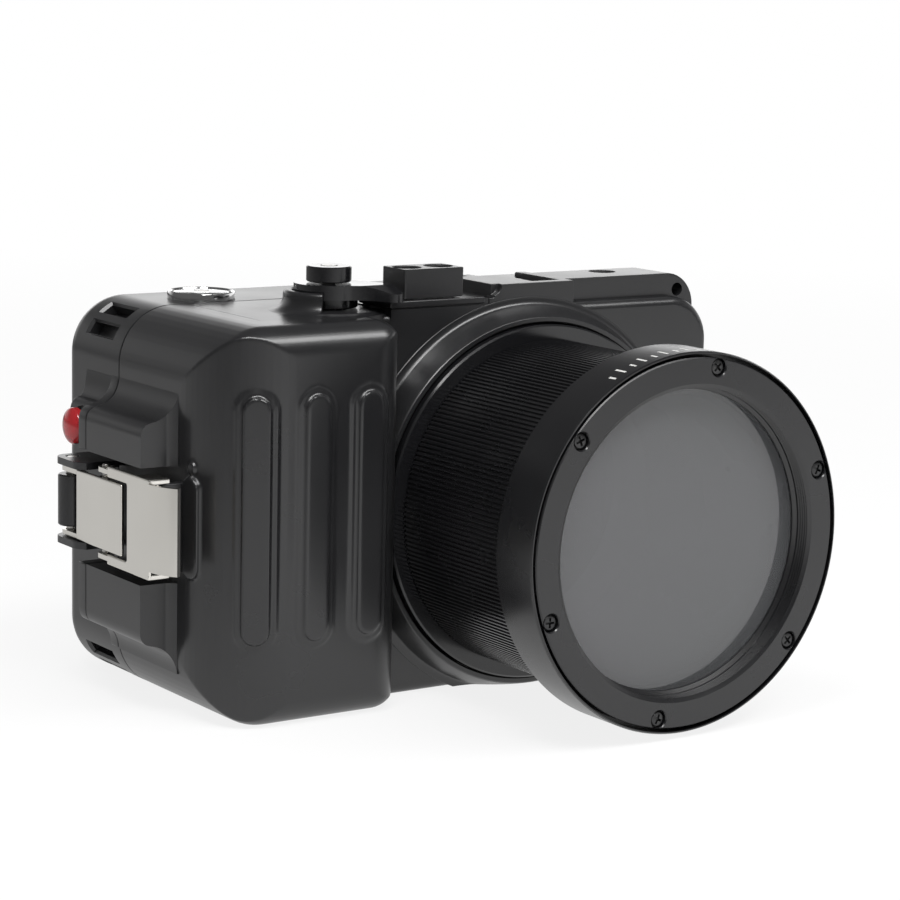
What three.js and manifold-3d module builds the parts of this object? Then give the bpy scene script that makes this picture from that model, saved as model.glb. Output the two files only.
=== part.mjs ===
// Underwater housing for a compact camera with a long flat port, in millimetres.
// X runs along the case (the grip is at -X), Y from the port to the back, Z up.
// The origin lies on the base plane, under the port axis, midway between the
// front panel and the back face.

import * as THREE from 'three';
import { mergeVertices } from 'three/addons/utils/BufferGeometryUtils.js';
import Module from 'manifold-3d';

const wasm = await Module();
wasm.setup();

// Case
const gripSide = 87.2; // port axis to the outer wall on the grip side
const hingeSide = 54.5; // port axis to the outer wall on the hinge side
const caseDepth = 62.7; // front panel to back face
const caseHeight = 88.2;
const axisDrop = 0.8; // port axis below the middle of the case's height
const coverDepth = 28; // seam to back face
const sideWall = 5;
const frontWall = 4;
const backWall = 6;
const roofWall = 4;
const floorWall = 6.5;
const gripCorner = 13; // corner radius on the grip side, seen from the front
const hingeCorner = 11; // the same on the hinge side
const backRound = 6; // rounding of the back edges
const panelRound = 2; // rounding of the front panel's edges
const innerCorner = 8;

// Grip
const gripReach = 12.3; // grip ahead of the front panel
const gripEdge = 39.3; // port axis to the grip's inner flank
const gripRound = 8; // rounding of the grip's front edges
const gripTurn = 18; // plan radius at the grip's outer corner
const gripInnerCorner = 9;
const ribWidth = 6.4;
const ribHeight = 1.2;
const ribBottom = 19;
const ribDrop = 15.2; // case's top to the ribs' upper ends
const ribPitch = 13.6;
const lastRib = 50.2; // port axis to the rib nearest the port
const cornerRibAngle = 27.8; // degrees round the grip's outer corner
const guardWidth = 5;
const guardBottom = 32.4;
const guardTop = 56.6;
const guardAngle = 72; // degrees round the grip's outer corner

// Port
const ringWidth = 12.8;
const ringStep = 4; // front ring beyond the barrel
const ringLip = 0.8; // ring round the plate
const portReach = 62.3; // front panel to the ring's front face
const plateThickness = 5;
const mouthRim = 7.1; // plate's edge to the thread mouth for accessory lenses
const mouthStep = 3.5; // mouth to the bezel
const mouthDepth = 3.2;
const glassSeat = 5.1; // glass beyond the barrel's bore
const glassThickness = 4;
const glassSealThickness = 1.2;
const glassSealWidth = 1;
const barrelWall = 6.5;
const barrelRibs = 72;
const barrelRibDepth = 0.5;
const spigotWall = 1.4;
const spigotLength = 1.7;
const collarStep = 3.4; // collar beyond the barrel
const collarLength = 5.4;
const socketLength = 3;
const neckWall = 2.5;
const neckReach = 3.4; // neck beyond the wall's inner face
const neckGroove = 1.2;
const neckGrooveSetback = 1.3;
const neckSealWidth = 1.8;
const shroudGap = 0.3; // collar to the guard round it
const shroudRim = 1.8;
const shroudSlope = 1.5;
const shroudSpread = 1.7;
const shroudReach = 6.3; // guard's rim ahead of the front panel
const shroudStep = 0.9;
const shroudFloor = 2.2; // groove's floor ahead of the front panel
const lockRingWidth = 2.4;
const lockRingClear = 0.4; // lock ring above the bay's floor
const lockRingThickness = 2.8;
const screwInset = 2.5; // screws from the plate's edge
const screwCount = 6;
const firstScrew = 20.2; // degrees from +X
const screwHeadRadius = 1.75;
const screwHeadHeight = 1.2;
const screwShankRadius = 1;
const screwLength = 7;
const screwSlotWidth = 0.55;
const screwSlotDepth = 0.7;
const screwSlotShare = 0.62; // cross slot's reach, as a share of the head
const screwSink = 0.5; // head's top below the plate's face

// Top of the case
const platformHeight = 5.3; // above the roof
const platformSetback = 3.7; // behind the front panel
const platformDepth = 17.7; // front panel to the platform's rear edge
const humpLeft = 9; // port axis to the hump's edge on the grip side
const humpRight = 13.7;
const humpCorner = 1;
const platformRight = 52.3;
const platformCorner = 8;
const shoeCentre = 4.3;
const shoeGap = 12; // between the shoe's lips
const shoeSlot = 18.6; // under the lips
const shoeLip = 1.5;
const shoeUndercut = 2.2;
const shoeStop = 4.3; // front panel to the shoe's stop
const plugHoleRadius = 2.9;
const plugHoleDepth = 4;
const plugHoleX = 31.8;
const plugHoleSetback = 13.2;
const eyeletRadius = 1.6;
const eyeletX = 47.4;
const eyeletDrop = 4; // below the platform's top
const ledgeThickness = 2.7;
const ledgeLeft = 35.6;
const ledgeDepth = 13;
const socketBlockLeft = 33.5;
const socketBlockWidth = 15.6;
const socketBlockDepth = 9.3;
const socketBlockHeight = 6.4;
const socketBlockCorner = 0.6;
const socketRadius = 3.2;
const socketPitch = 8.6;
const socketDepth = 5.2;

// Shutter lever and power knob
const shutterX = 46.5; // port axis to the shutter axis
const shutterSetback = 11.6; // front panel to the shutter axis
const bossRadius = 11.1;
const bossHeight = 5;
const bossFlare = 1.6;
const bossWall = 2.6;
const bossFloor = 0.6; // recess floor above the roof
const bossOpenFrom = -134; // degrees, where the guard wall is open
const bossOpenTo = 38;
const hubRadius = 6.6;
const hubCollarRadius = 7.9;
const hubTopRadius = 6;
const hubHeight = 5.4;
const hubCollarHeight = 1;
const leverWidth = 4.4;
const leverHeight = 4.2;
const leverElbow = 8; // shutter axis to the arm's forward stretch
const leverForward = 14.2; // shutter axis to the arm's tip
const leverDrop = 1.8;
const leverCorner = 1.8;
const shutterTubeRadius = 3.2;
const shutterTubeBore = 2;
const powerShaftRadius = 1.7;
const powerKnobRadius = 5.3;
const powerKnobHeight = 3.6;
const powerKnobEdge = 0.4;
const insideReach = 4.6; // shafts below the roof's underside
const fingerLength = 9;
const fingerThickness = 1.6;
const forkThickness = 1.2;
const springRadius = 4.8;
const springWire = 1;
const springLength = 1.8;

// Mode dial on the cover's roof
const dialX = 61.5; // port axis to the dial's axis
const dialBehindSeam = 8.5;
const dialRadius = 7.9;
const dialRimWidth = 0.9;
const dialHeight = 1.5;
const dialEdge = 0.3;
const dialShaftRadius = 1.6;
const driveWheelRadius = 5;
const driveWheelThickness = 2;

// Shaft seals under the roof
const sealWidth = 1.3;
const sealHeight = 1.4;

// Back window
const windowLeft = 40;
const windowRight = 41;
const windowBottom = 16;
const windowDrop = 16.2; // case's top to the opening's top edge
const windowCorner = 4;
const windowLedge = 3.4;
const windowThickness = 2.6;
const windowGasket = 0.6;
const windowFrameOverlap = 4;
const windowFrameLip = 1;
const windowFrameThickness = 1.4;

// Back buttons
const buttonRadius = 3.7;
const buttonRecess = 4;
const buttonProud = 1.6;
const buttonTravel = 1.2;
const buttonEdge = 0.5;
const buttonStemRadius = 1.5;
const buttonStemInside = 2.6;
const buttonSpringLength = 1;
const springWall = 0.9;
const padX = 64.5; // port axis to the four-way pad's centre
const padZ = 41;
const padPitch = 10.4;
const menuX = 52.5;
const menuDrop = 21.2;
const lowerSpread = 9.2; // lower pair, each side of the pad's centre
const lowerZ = 17.5;

// Record button on the grip side of the cover
const recordZ = 60.3;
const recordBehindSeam = 10.4;
const recordRadius = 4.2;
const recordDome = 2.2;
const recordHead = 1.2;
const recordTravel = 1.5;
const recordStemRadius = 2;
const recordStemInside = 2.6;
const recordRecess = 3;
const recordBoss = 3.2; // button's zone proud of the side wall
const recordZoneLength = 16.3;

// Latch shoulders
const padReach = 8.3; // shoulders ahead of the side wall
const padSetback = 8.9; // front panel to the shoulders' front end
const padLean = 3.9;
const padRear = 3.8; // seam to the shoulders' rear end
const padSweep = 5.7;
const upperPadBottom = 56.4;
const upperPadTop = 66.3;
const lowerPadBottom = 16.5;
const lowerPadTop = 30.4;

// Latch
const earThickness = 1.6;
const earRadius = 3.4;
const earFront = 10; // hinge pin to the ears' front end
const latchPinRadius = 1.4;
const latchPinEnd = 0.5;
const latchPinX = 94.6; // port axis to the latch's hinge pin
const latchPinBehindSeam = 8.4;
const latchBottom = 32;
const latchTop = 55;
const linkBottom = 34.9;
const linkTop = 51.9;
const plateSheet = 1;
const plateFace = 97; // port axis to the latch plates' outer face
const linkRear = 2; // seam to the link plate's rear edge
const linkLap = 10.8; // lever's bend to the link plate's front edge
const knuckleHeight = 1.8;
const linkKnuckleRadius = 2.4;
const leverPinShare = 0.242; // lever's pin ahead of the seam, as a share of the front half's depth
const leverPinX = 94.7;
const leverPinRadius = 0.9;
const leverPinEnd = 0.4;
const leverKnuckleRadius = 1.9;
const bendSetback = 2.3; // front panel to the lever's bend
const leverGap = 0.6; // lever's cut-out round the link plate
const armStopShare = 0.375; // end of the lever's arms, as the same share
const lugInset = 0.3;
const hookReach = 5.3;
const hookLength = 7;
const hookSheet = 1.2;
const lipLength = 7.8;
const lipTurn = 2.8;
const lipInset = 1.5;
const lipCurveShare = 0.6;
const rollRadius = 3;
const catchDepth = 2.2;
const catchReach = 5.8;

// Case hinge
const hingeOffset = 3.4;
const knuckleRadius = 2.6;
const casePinRadius = 1.4;
const casePinEnd = 0.4;
const hingeBottom = 12;
const hingeDrop = 12.2; // case's top to the hinge's upper end
const knuckleLength = 14;

// Inside
const trayLeft = 66;
const trayRight = 30;
const trayDepth = 22;
const trayThickness = 3;
const trayPadThickness = 1.2;
const trayPadInset = 3;
const trayCorner = 3;
const insertRadius = 5;
const insertBore = 3.1;
const insertDepth = 4.6;
const insertSetback = 18;
const mainSealInset = 1.7;
const mainSealWidth = 1.6;
const mainSealThickness = 1.3;

// Recesses on the cover's corners
const slotLength = 11.6;
const slotWidth = 4;
const slotDepth = 2;
const slotBehindSeam = 3.6;
const slotAngles = [110, 147]; // degrees from +X, about the corner's centre

// Clearances
const seatGap = 0.3; // between pieces that rest on each other
const runningGap = 0.2; // round a turning or sliding shaft
const seamGap = 0.4; // between the case halves
const overrun = 20; // how far a cutter runs past what it cuts
const root = 2; // how far an added form reaches into what carries it

// Facets
const portFacets = 32;
const knobFacets = 20;
const smallFacets = 12;
const screwFacets = 8;
const buttonFacets = 12;
const roundFacets = 3;
const ribFacets = 2;

// Places worked out from the sizes above
const panelY = -caseDepth / 2;
const backY = caseDepth / 2;
const seamY = backY - coverDepth;
const seamFrontY = seamY - seamGap / 2;
const seamBackY = seamY + seamGap / 2;
const wallInnerY = panelY + frontWall;
const backInnerY = backY - backWall;
const frontDepth = caseDepth - coverDepth;
const roofUnder = caseHeight - roofWall;
const axisHeight = caseHeight / 2 - axisDrop;
const ribTop = caseHeight - ribDrop;
const windowTop = caseHeight - windowDrop;
const menuZ = caseHeight - menuDrop;
const hingeTop = caseHeight - hingeDrop;
const lockRingRadius = axisHeight - floorWall - lockRingClear;
const neckRadius = lockRingRadius - lockRingWidth;
const barrelBore = neckRadius - neckWall;
const barrelRadius = barrelBore + barrelWall;
const collarRadius = barrelRadius + collarStep;
const ringRadius = barrelRadius + ringStep;
const plateRadius = ringRadius - ringLip;
const screwCircle = plateRadius - screwInset;
const mouthRadius = plateRadius - mouthRim;
const bezelRadius = mouthRadius - mouthStep;
const glassRadius = barrelBore + glassSeat;
const shroudBore = collarRadius + shroudGap;
const shroudRadius = shroudBore + shroudRim; // front rim of the collar guard
const shroudShoulder = shroudRadius + shroudSlope;
const shroudFoot = shroudShoulder + shroudSpread;
const gripY = panelY - gripReach;
const turnX = gripTurn - gripSide; // centre of the grip's outer corner
const turnY = gripY + gripTurn;
const platformTop = caseHeight + platformHeight;
const platformRearY = panelY + platformDepth;
const ledgeTop = caseHeight + ledgeThickness;
const shutterY = panelY + shutterSetback;
const bossFloorZ = caseHeight + bossFloor;
const hubBottom = bossFloorZ + seatGap;
const hubTop = hubBottom + hubHeight;
const knobBottom = hubTop + seatGap;
const knobTop = knobBottom + powerKnobHeight;
const shaftEnd = roofUnder - insideReach;
const dialY = seamY + dialBehindSeam;
const dialBottom = caseHeight + seatGap;
const dialTop = dialBottom + dialHeight;
const ringY = panelY - portReach;
const ringRearY = ringY + ringWidth;
const plateRearY = ringY + plateThickness;
const glassY = plateRearY + seatGap;
const glassSealY = glassY + glassThickness + seatGap;
const ringWebY = glassSealY + glassSealThickness + seatGap;
const grooveY = panelY - shroudFloor;
const collarRearY = grooveY - seatGap;
const collarY = collarRearY - collarLength;
const socketY = collarY + socketLength;
const barrelFrontY = ringRearY + seatGap;
const barrelRearY = collarY - seatGap;
const neckEndY = wallInnerY + neckReach;
const neckGrooveY = grooveY + neckGrooveSetback;
const frontSpigotRadius = barrelBore + spigotWall;
const rearSpigotRadius = frontSpigotRadius + spigotWall;
const latchPinY = seamY + latchPinBehindSeam;
const leverPinY = seamY - leverPinShare * frontDepth;
const plateInner = plateFace - plateSheet;
const bendY = panelY + bendSetback;
const linkFrontY = bendY + linkLap;
const hingeX = hingeSide + hingeOffset;
const recordY = seamY + recordBehindSeam;
const recordFace = gripSide + recordBoss;
const recordUnder = recordFace + recordTravel + seatGap;
const windowSeatY = backY - windowThickness - windowGasket - 2 * seatGap;
const buttonUnder = backY - buttonRecess + buttonSpringLength + buttonTravel + 2 * seatGap;
const buttonTop = backY + buttonProud;
const trayBottom = floorWall + seatGap;
const trayTop = trayBottom + trayThickness;
const trayFront = neckEndY + seatGap;

const backButtons = [
  ['menu_button', -menuX, menuZ],
  ['playback_button', lowerSpread - padX, lowerZ],
  ['delete_button', -lowerSpread - padX, lowerZ],
  ['ok_button', -padX, padZ],
  ['up_button', -padX, padZ + padPitch],
  ['down_button', -padX, padZ - padPitch],
  ['left_button', padPitch - padX, padZ],
  ['right_button', -padPitch - padX, padZ],
];

const finishes = {
  shell: { color: 0x2b2c2e, roughness: 0.42, metalness: 0.1 },
  anodised: { color: 0x222325, roughness: 0.38, metalness: 0.6 },
  steel: { color: 0xc9c6bd, roughness: 0.22, metalness: 1 },
  chrome: { color: 0xe4e6e8, roughness: 0.08, metalness: 1 },
  brass: { color: 0xb69a55, roughness: 0.3, metalness: 1 },
  rubber: { color: 0x141414, roughness: 0.8, metalness: 0 },
  seal: { color: 0xb4552a, roughness: 0.6, metalness: 0 },
  glass: { color: 0x9ca3a8, roughness: 0.05, metalness: 0 },
  clear: { color: 0xd5d8da, roughness: 0.08, metalness: 0 },
  red: { color: 0xb3202c, roughness: 0.25, metalness: 0 },
};

const housing = new THREE.Group();
housing.name = 'underwater_camera_housing';

function isWhole(a, b, c) {
  return a !== b && b !== c && c !== a;
}

function toSolid(geometry) {
  const bare = geometry.clone();
  bare.deleteAttribute('normal');
  bare.deleteAttribute('uv');
  const merged = mergeVertices(bare);
  const corners = merged.index.array;
  const kept = [];
  for (let at = 0; at < corners.length; at += 3) {
    const triangle = [corners[at], corners[at + 1], corners[at + 2]];
    if (isWhole(...triangle)) {
      kept.push(...triangle);
    }
  }
  const vertProperties = Float32Array.from(merged.attributes.position.array);
  const triVerts = Uint32Array.from(kept);
  return new wasm.Manifold(new wasm.Mesh({ numProp: 3, vertProperties, triVerts }));
}

function toGeometry(solid) {
  const mesh = solid.getMesh();
  const geometry = new THREE.BufferGeometry();
  geometry.setAttribute('position', new THREE.BufferAttribute(mesh.vertProperties, mesh.numProp));
  geometry.setIndex(new THREE.BufferAttribute(mesh.triVerts, 1));
  geometry.computeVertexNormals();
  return geometry;
}

function addPiece(name, solid, finish) {
  const piece = new THREE.Mesh(toGeometry(solid), new THREE.MeshStandardMaterial(finishes[finish]));
  piece.name = name;
  housing.add(piece);
}

function join(...solids) {
  return solids.reduce((whole, next) => whole.add(next));
}

function cut(solid, ...cutters) {
  return cutters.reduce((whole, next) => whole.subtract(next), solid);
}

function block(x0, x1, y0, y1, z0, z1) {
  const geometry = new THREE.BoxGeometry(x1 - x0, y1 - y0, z1 - z0);
  geometry.translate((x0 + x1) / 2, (y0 + y1) / 2, (z0 + z1) / 2);
  return toSolid(geometry);
}

// A rectangle with rounded corners: bottom left, bottom right, top right, top left.
function roundedOutline(x0, x1, z0, z1, corners) {
  const [bottomLeft, bottomRight, topRight, topLeft] = corners;
  const shape = new THREE.Shape();
  shape.moveTo(x0 + bottomLeft, z0);
  shape.lineTo(x1 - bottomRight, z0);
  shape.absarc(x1 - bottomRight, z0 + bottomRight, bottomRight, -Math.PI / 2, 0, false);
  shape.lineTo(x1, z1 - topRight);
  shape.absarc(x1 - topRight, z1 - topRight, topRight, 0, Math.PI / 2, false);
  shape.lineTo(x0 + topLeft, z1);
  shape.absarc(x0 + topLeft, z1 - topLeft, topLeft, Math.PI / 2, Math.PI, false);
  shape.lineTo(x0, z0 + bottomLeft);
  shape.absarc(x0 + bottomLeft, z0 + bottomLeft, bottomLeft, -Math.PI, -Math.PI / 2, false);
  return shape;
}

function evenOutline(x0, x1, z0, z1, corner) {
  return roundedOutline(x0, x1, z0, z1, [corner, corner, corner, corner]);
}

function ringOutline(outer, inner) {
  outer.holes.push(inner);
  return outer;
}

function polygon(points) {
  return new THREE.Shape(points.map(([x, y]) => new THREE.Vector2(x, y)));
}

function extruded(shape, length, round, facets = roundFacets) {
  const geometry = new THREE.ExtrudeGeometry(shape, {
    depth: length - 2 * round,
    curveSegments: facets,
    bevelEnabled: round > 0,
    bevelThickness: round,
    bevelSize: round,
    bevelOffset: -round,
    bevelSegments: facets,
  });
  return geometry.translate(0, 0, round);
}

// An outline drawn in X and Y, carried from z0 to z1.
function alongZ(shape, z0, z1) {
  return toSolid(extruded(shape, z1 - z0, 0).translate(0, 0, z0));
}

// An outline drawn in X and Z, carried from y0 to y1.
function alongY(shape, y0, y1, round = 0) {
  return toSolid(extruded(shape, y1 - y0, round).rotateX(Math.PI / 2).translate(0, y1, 0));
}

// An outline drawn in Y and Z, carried from x0 to x1.
function alongX(shape, x0, x1) {
  const geometry = extruded(shape, x1 - x0, 0).rotateX(Math.PI / 2).rotateZ(Math.PI / 2);
  return toSolid(geometry.translate(x0, 0, 0));
}

// A profile of [radius, height] pairs turned about the Y axis.
function turned(profile, facets) {
  const points = profile.map(([radius, height]) => new THREE.Vector2(radius, height));
  if (profile[0][0] > 0) {
    points.push(points[0].clone());
  }
  return new THREE.LatheGeometry(points, facets);
}

function turnedY(profile, x, z, facets) {
  return toSolid(turned(profile, facets).translate(x, 0, z));
}

function turnedZ(profile, x, y, facets) {
  return toSolid(turned(profile, facets).rotateX(Math.PI / 2).translate(x, y, 0));
}

// Heights run outwards from the grip side, along -X.
function turnedSide(profile, y, z, facets) {
  return toSolid(turned(profile, facets).rotateZ(Math.PI / 2).translate(0, y, z));
}

function portTurned(profile) {
  return turnedY(profile, 0, axisHeight, portFacets);
}

function rod(radius, from, to) {
  return [[0, from], [radius, from], [radius, to], [0, to]];
}

function sleeve(inner, outer, from, to) {
  return [[inner, from], [outer, from], [outer, to], [inner, to]];
}

// The case's outline, drawn in by an inset on every side.
function caseOutline(inset) {
  const grip = gripCorner - inset;
  const hinge = hingeCorner - inset;
  return roundedOutline(
    inset - gripSide,
    hingeSide - inset,
    inset,
    caseHeight - inset,
    [grip, hinge, hinge, grip],
  );
}

function bayOutline() {
  return evenOutline(sideWall - gripSide, hingeSide - sideWall, floorWall, roofUnder, innerCorner);
}

// A rounded bar standing proud of the grip, turned round the centre of its corner.
function gripRib(angle, centreX, width, bottom, top) {
  const outline = evenOutline(-width / 2, width / 2, bottom, top, width / 2);
  const bar = extruded(outline, ribHeight + root, ribHeight, ribFacets).rotateX(Math.PI / 2);
  bar.translate(0, root - gripTurn, 0);
  bar.rotateZ(-THREE.MathUtils.degToRad(angle));
  return toSolid(bar.translate(centreX, turnY, 0));
}

function gripRibs() {
  return join(
    gripRib(0, -lastRib, ribWidth, ribBottom, ribTop),
    gripRib(0, -lastRib - ribPitch, ribWidth, ribBottom, ribTop),
    gripRib(cornerRibAngle, turnX, ribWidth, ribBottom, ribTop),
    gripRib(guardAngle, turnX, guardWidth, guardBottom, guardTop),
  );
}

function gripBody() {
  const rear = seamY + overrun;
  const corners = [gripCorner, gripInnerCorner, gripInnerCorner, gripCorner];
  const outline = roundedOutline(-gripSide, -gripEdge, 0, caseHeight, corners);
  const plan = roundedOutline(-gripSide, -gripEdge, gripY, rear, [gripTurn, gripInnerCorner, 0, 0]);
  const body = alongY(outline, gripY, rear, gripRound).intersect(alongZ(plan, 0, caseHeight));
  return body.intersect(block(-gripSide, hingeSide, gripY, seamFrontY, 0, caseHeight));
}

function gripHollow() {
  const x0 = sideWall - gripSide;
  const x1 = -gripEdge - sideWall;
  const y0 = gripY + sideWall;
  const outline = evenOutline(x0, x1, floorWall + sideWall, roofUnder - sideWall, innerCorner);
  const plan = roundedOutline(x0, x1, y0, seamY, [gripTurn - sideWall, innerCorner, 0, 0]);
  return alongY(outline, y0, seamY).intersect(alongZ(plan, 0, caseHeight));
}

function collarGuard() {
  const rimY = panelY - shroudReach;
  const guard = portTurned([
    [shroudBore - root, rimY],
    [shroudRadius, rimY],
    [shroudShoulder, panelY - shroudStep],
    [shroudFoot, panelY],
    [shroudFoot, panelY + root],
    [shroudBore - root, panelY + root],
  ]);
  return guard.intersect(block(-gripSide, hingeSide, rimY, panelY + root, 0, caseHeight));
}

function topPlatform() {
  const hump = evenOutline(-humpLeft, humpRight, roofUnder, platformTop, humpCorner);
  const wing = roundedOutline(-humpLeft, platformRight, axisHeight, platformTop, [0, 0, platformCorner, 0]);
  return join(
    alongY(hump, panelY, platformRearY),
    alongY(wing, panelY + platformSetback, platformRearY),
    block(-ledgeLeft, 0, panelY, panelY + ledgeDepth, roofUnder, ledgeTop),
  );
}

function shoeSlots() {
  const stop = panelY + shoeStop;
  const end = platformRearY + overrun;
  const lipUnder = platformTop - shoeLip;
  const floor = lipUnder - shoeUndercut;
  return join(
    block(shoeCentre - shoeGap / 2, shoeCentre + shoeGap / 2, stop, end, floor, platformTop + overrun),
    block(shoeCentre - shoeSlot / 2, shoeCentre + shoeSlot / 2, stop, end, floor, lipUnder),
  );
}

// The guard round the shutter hub, open on the side where the lever comes out.
function shutterBoss() {
  const top = caseHeight + bossHeight;
  const inner = bossRadius - bossWall;
  const profile = [
    [0, roofUnder],
    [bossRadius + bossFlare, roofUnder],
    [bossRadius + bossFlare, caseHeight],
    [bossRadius, caseHeight + bossFlare],
    [bossRadius, top],
    [inner, top],
    [inner, bossFloorZ],
    [0, bossFloorZ],
  ];
  const wedge = [[-shutterX, shutterY]];
  const reach = 2 * bossRadius;
  for (let step = 0; step <= roundFacets; step += 1) {
    const share = step / roundFacets;
    const angle = THREE.MathUtils.degToRad(THREE.MathUtils.lerp(bossOpenFrom, bossOpenTo, share));
    wedge.push([reach * Math.cos(angle) - shutterX, shutterY + reach * Math.sin(angle)]);
  }
  const boss = turnedZ(profile, -shutterX, shutterY, knobFacets);
  return cut(boss, alongZ(polygon(wedge), bossFloorZ, top + overrun));
}

// A latch shoulder's section: square towards the latch, swept into the wall beyond it.
function shoulderOutline(near, far, reach) {
  const sweep = Math.sign(far - near) * padSweep;
  const shape = new THREE.Shape();
  shape.moveTo(root - gripSide, near);
  shape.lineTo(-gripSide - reach, near);
  shape.lineTo(-gripSide - reach, far);
  shape.quadraticCurveTo(-gripSide, far, -gripSide, far + sweep);
  shape.lineTo(root - gripSide, far + sweep);
  return shape;
}

function shoulders(y0, y1) {
  return join(
    alongY(shoulderOutline(upperPadBottom, upperPadTop, padReach), y0, y1),
    alongY(shoulderOutline(lowerPadTop, lowerPadBottom, padReach), y0, y1),
  );
}

function frontShoulders() {
  const front = panelY + padSetback;
  const slope = padLean / padReach;
  const outside = -gripSide - padReach - root;
  const inside = root - gripSide;
  const lean = polygon([
    [outside, front - overrun],
    [inside, front - overrun],
    [inside, front + (padReach + root) * slope],
    [outside, front - root * slope],
  ]);
  return cut(shoulders(front - root, seamFrontY), alongZ(lean, 0, caseHeight));
}

function latchCatch() {
  const front = bendY + plateSheet + seatGap;
  const inset = hookSheet + seatGap;
  return block(
    -gripSide - catchReach,
    root - gripSide,
    front,
    front + catchDepth,
    latchBottom + inset,
    latchTop - inset,
  );
}

// A hinge knuckle with its web, on the front shell (side -1) or on the cover (side 1).
function caseKnuckle(bottom, top, side) {
  const near = seamY + side * seamGap / 2;
  const far = seamY + side * knuckleRadius;
  const web = block(hingeSide - root, hingeX, Math.min(near, far), Math.max(near, far), bottom, top);
  const barrel = turnedZ(rod(knuckleRadius, bottom, top), hingeX, seamY, smallFacets);
  const bore = rod(casePinRadius + runningGap, bottom - overrun, top + overrun);
  return cut(join(web, barrel), turnedZ(bore, hingeX, seamY, smallFacets));
}

function roofShaftHole(x, y, shaftRadius) {
  const below = roofUnder - overrun;
  const bore = rod(shaftRadius + runningGap, below, caseHeight + overrun);
  const seat = rod(shaftRadius + sealWidth + 2 * seatGap, below, roofUnder + sealHeight + 2 * seatGap);
  return join(turnedZ(bore, x, y, smallFacets), turnedZ(seat, x, y, smallFacets));
}

function shaftSeal(x, y, shaftRadius) {
  const inner = shaftRadius + seatGap;
  const bottom = roofUnder + seatGap;
  return turnedZ(sleeve(inner, inner + sealWidth, bottom, bottom + sealHeight), x, y, smallFacets);
}

function makeFrontShell() {
  const slab = alongY(caseOutline(0), panelY, backY, panelRound);
  const outside = join(
    slab.intersect(block(-gripSide, hingeSide, panelY, seamFrontY, 0, caseHeight)),
    gripBody(),
    gripRibs(),
    collarGuard(),
    topPlatform(),
    shutterBoss(),
    frontShoulders(),
    latchCatch(),
    caseKnuckle(hingeBottom, hingeBottom + knuckleLength, -1),
    caseKnuckle(hingeTop - knuckleLength, hingeTop, -1),
  );
  const plugHole = rod(plugHoleRadius, platformTop - plugHoleDepth, platformTop + overrun);
  const insertHole = rod(insertRadius + seatGap, -overrun, insertDepth + 2 * seatGap);
  return cut(
    outside,
    alongY(bayOutline(), wallInnerY, seamY + overrun),
    gripHollow(),
    portTurned(rod(shroudBore, gripY - overrun, grooveY)),
    portTurned(rod(neckRadius + seatGap, gripY - overrun, wallInnerY + root)),
    shoeSlots(),
    turnedZ(plugHole, plugHoleX, panelY + plugHoleSetback, smallFacets),
    turnedY(rod(eyeletRadius, panelY, backY), eyeletX, platformTop - eyeletDrop, smallFacets),
    roofShaftHole(-shutterX, shutterY, shutterTubeRadius),
    turnedZ(insertHole, 0, panelY + insertSetback, smallFacets),
  );
}

function cornerSlot(angle, centreZ) {
  const slot = new THREE.BoxGeometry(2 * slotDepth, slotLength, slotWidth);
  slot.translate(gripCorner, seamY + slotBehindSeam + slotLength / 2, 0);
  slot.rotateY(-THREE.MathUtils.degToRad(angle));
  return toSolid(slot.translate(gripCorner - gripSide, 0, centreZ));
}

function cornerSlots() {
  const upper = slotAngles.map((angle) => cornerSlot(angle, caseHeight - gripCorner));
  const lower = slotAngles.map((angle) => cornerSlot(-angle, gripCorner));
  return join(...upper, ...lower);
}

function windowOutline(margin) {
  return evenOutline(
    -windowLeft - margin,
    windowRight + margin,
    windowBottom - margin,
    windowTop + margin,
    windowCorner + margin,
  );
}

function buttonHoles() {
  const recess = rod(buttonRadius + seatGap, backY - buttonRecess, backY + overrun);
  const bore = rod(buttonStemRadius + runningGap, seamY, backY + overrun);
  const holes = backButtons.map(([, x, z]) => (
    join(turnedY(recess, x, z, buttonFacets), turnedY(bore, x, z, screwFacets))
  ));
  return join(...holes);
}

function latchEars() {
  const lower = linkBottom - seatGap;
  const upper = linkTop + seatGap;
  const plan = roundedOutline(
    -latchPinX - earRadius,
    root - gripSide,
    latchPinY - earFront,
    latchPinY + earRadius,
    [earRadius / 2, 0, 0, earRadius],
  );
  return cut(
    join(alongZ(plan, lower - earThickness, lower), alongZ(plan, upper, upper + earThickness)),
    block(-gripSide - seatGap, 0, gripY, seamBackY, 0, caseHeight),
    turnedZ(rod(latchPinRadius + runningGap, 0, caseHeight), -latchPinX, latchPinY, smallFacets),
  );
}

function recordHole() {
  const bore = rod(recordStemRadius + runningGap, 0, gripSide + overrun);
  const recessRadius = recordStemRadius + springWall + 2 * seatGap;
  const recess = rod(recessRadius, recordFace - recordRecess, gripSide + overrun);
  return join(
    turnedSide(bore, recordY, recordZ, smallFacets),
    turnedSide(recess, recordY, recordZ, smallFacets),
  );
}

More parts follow.
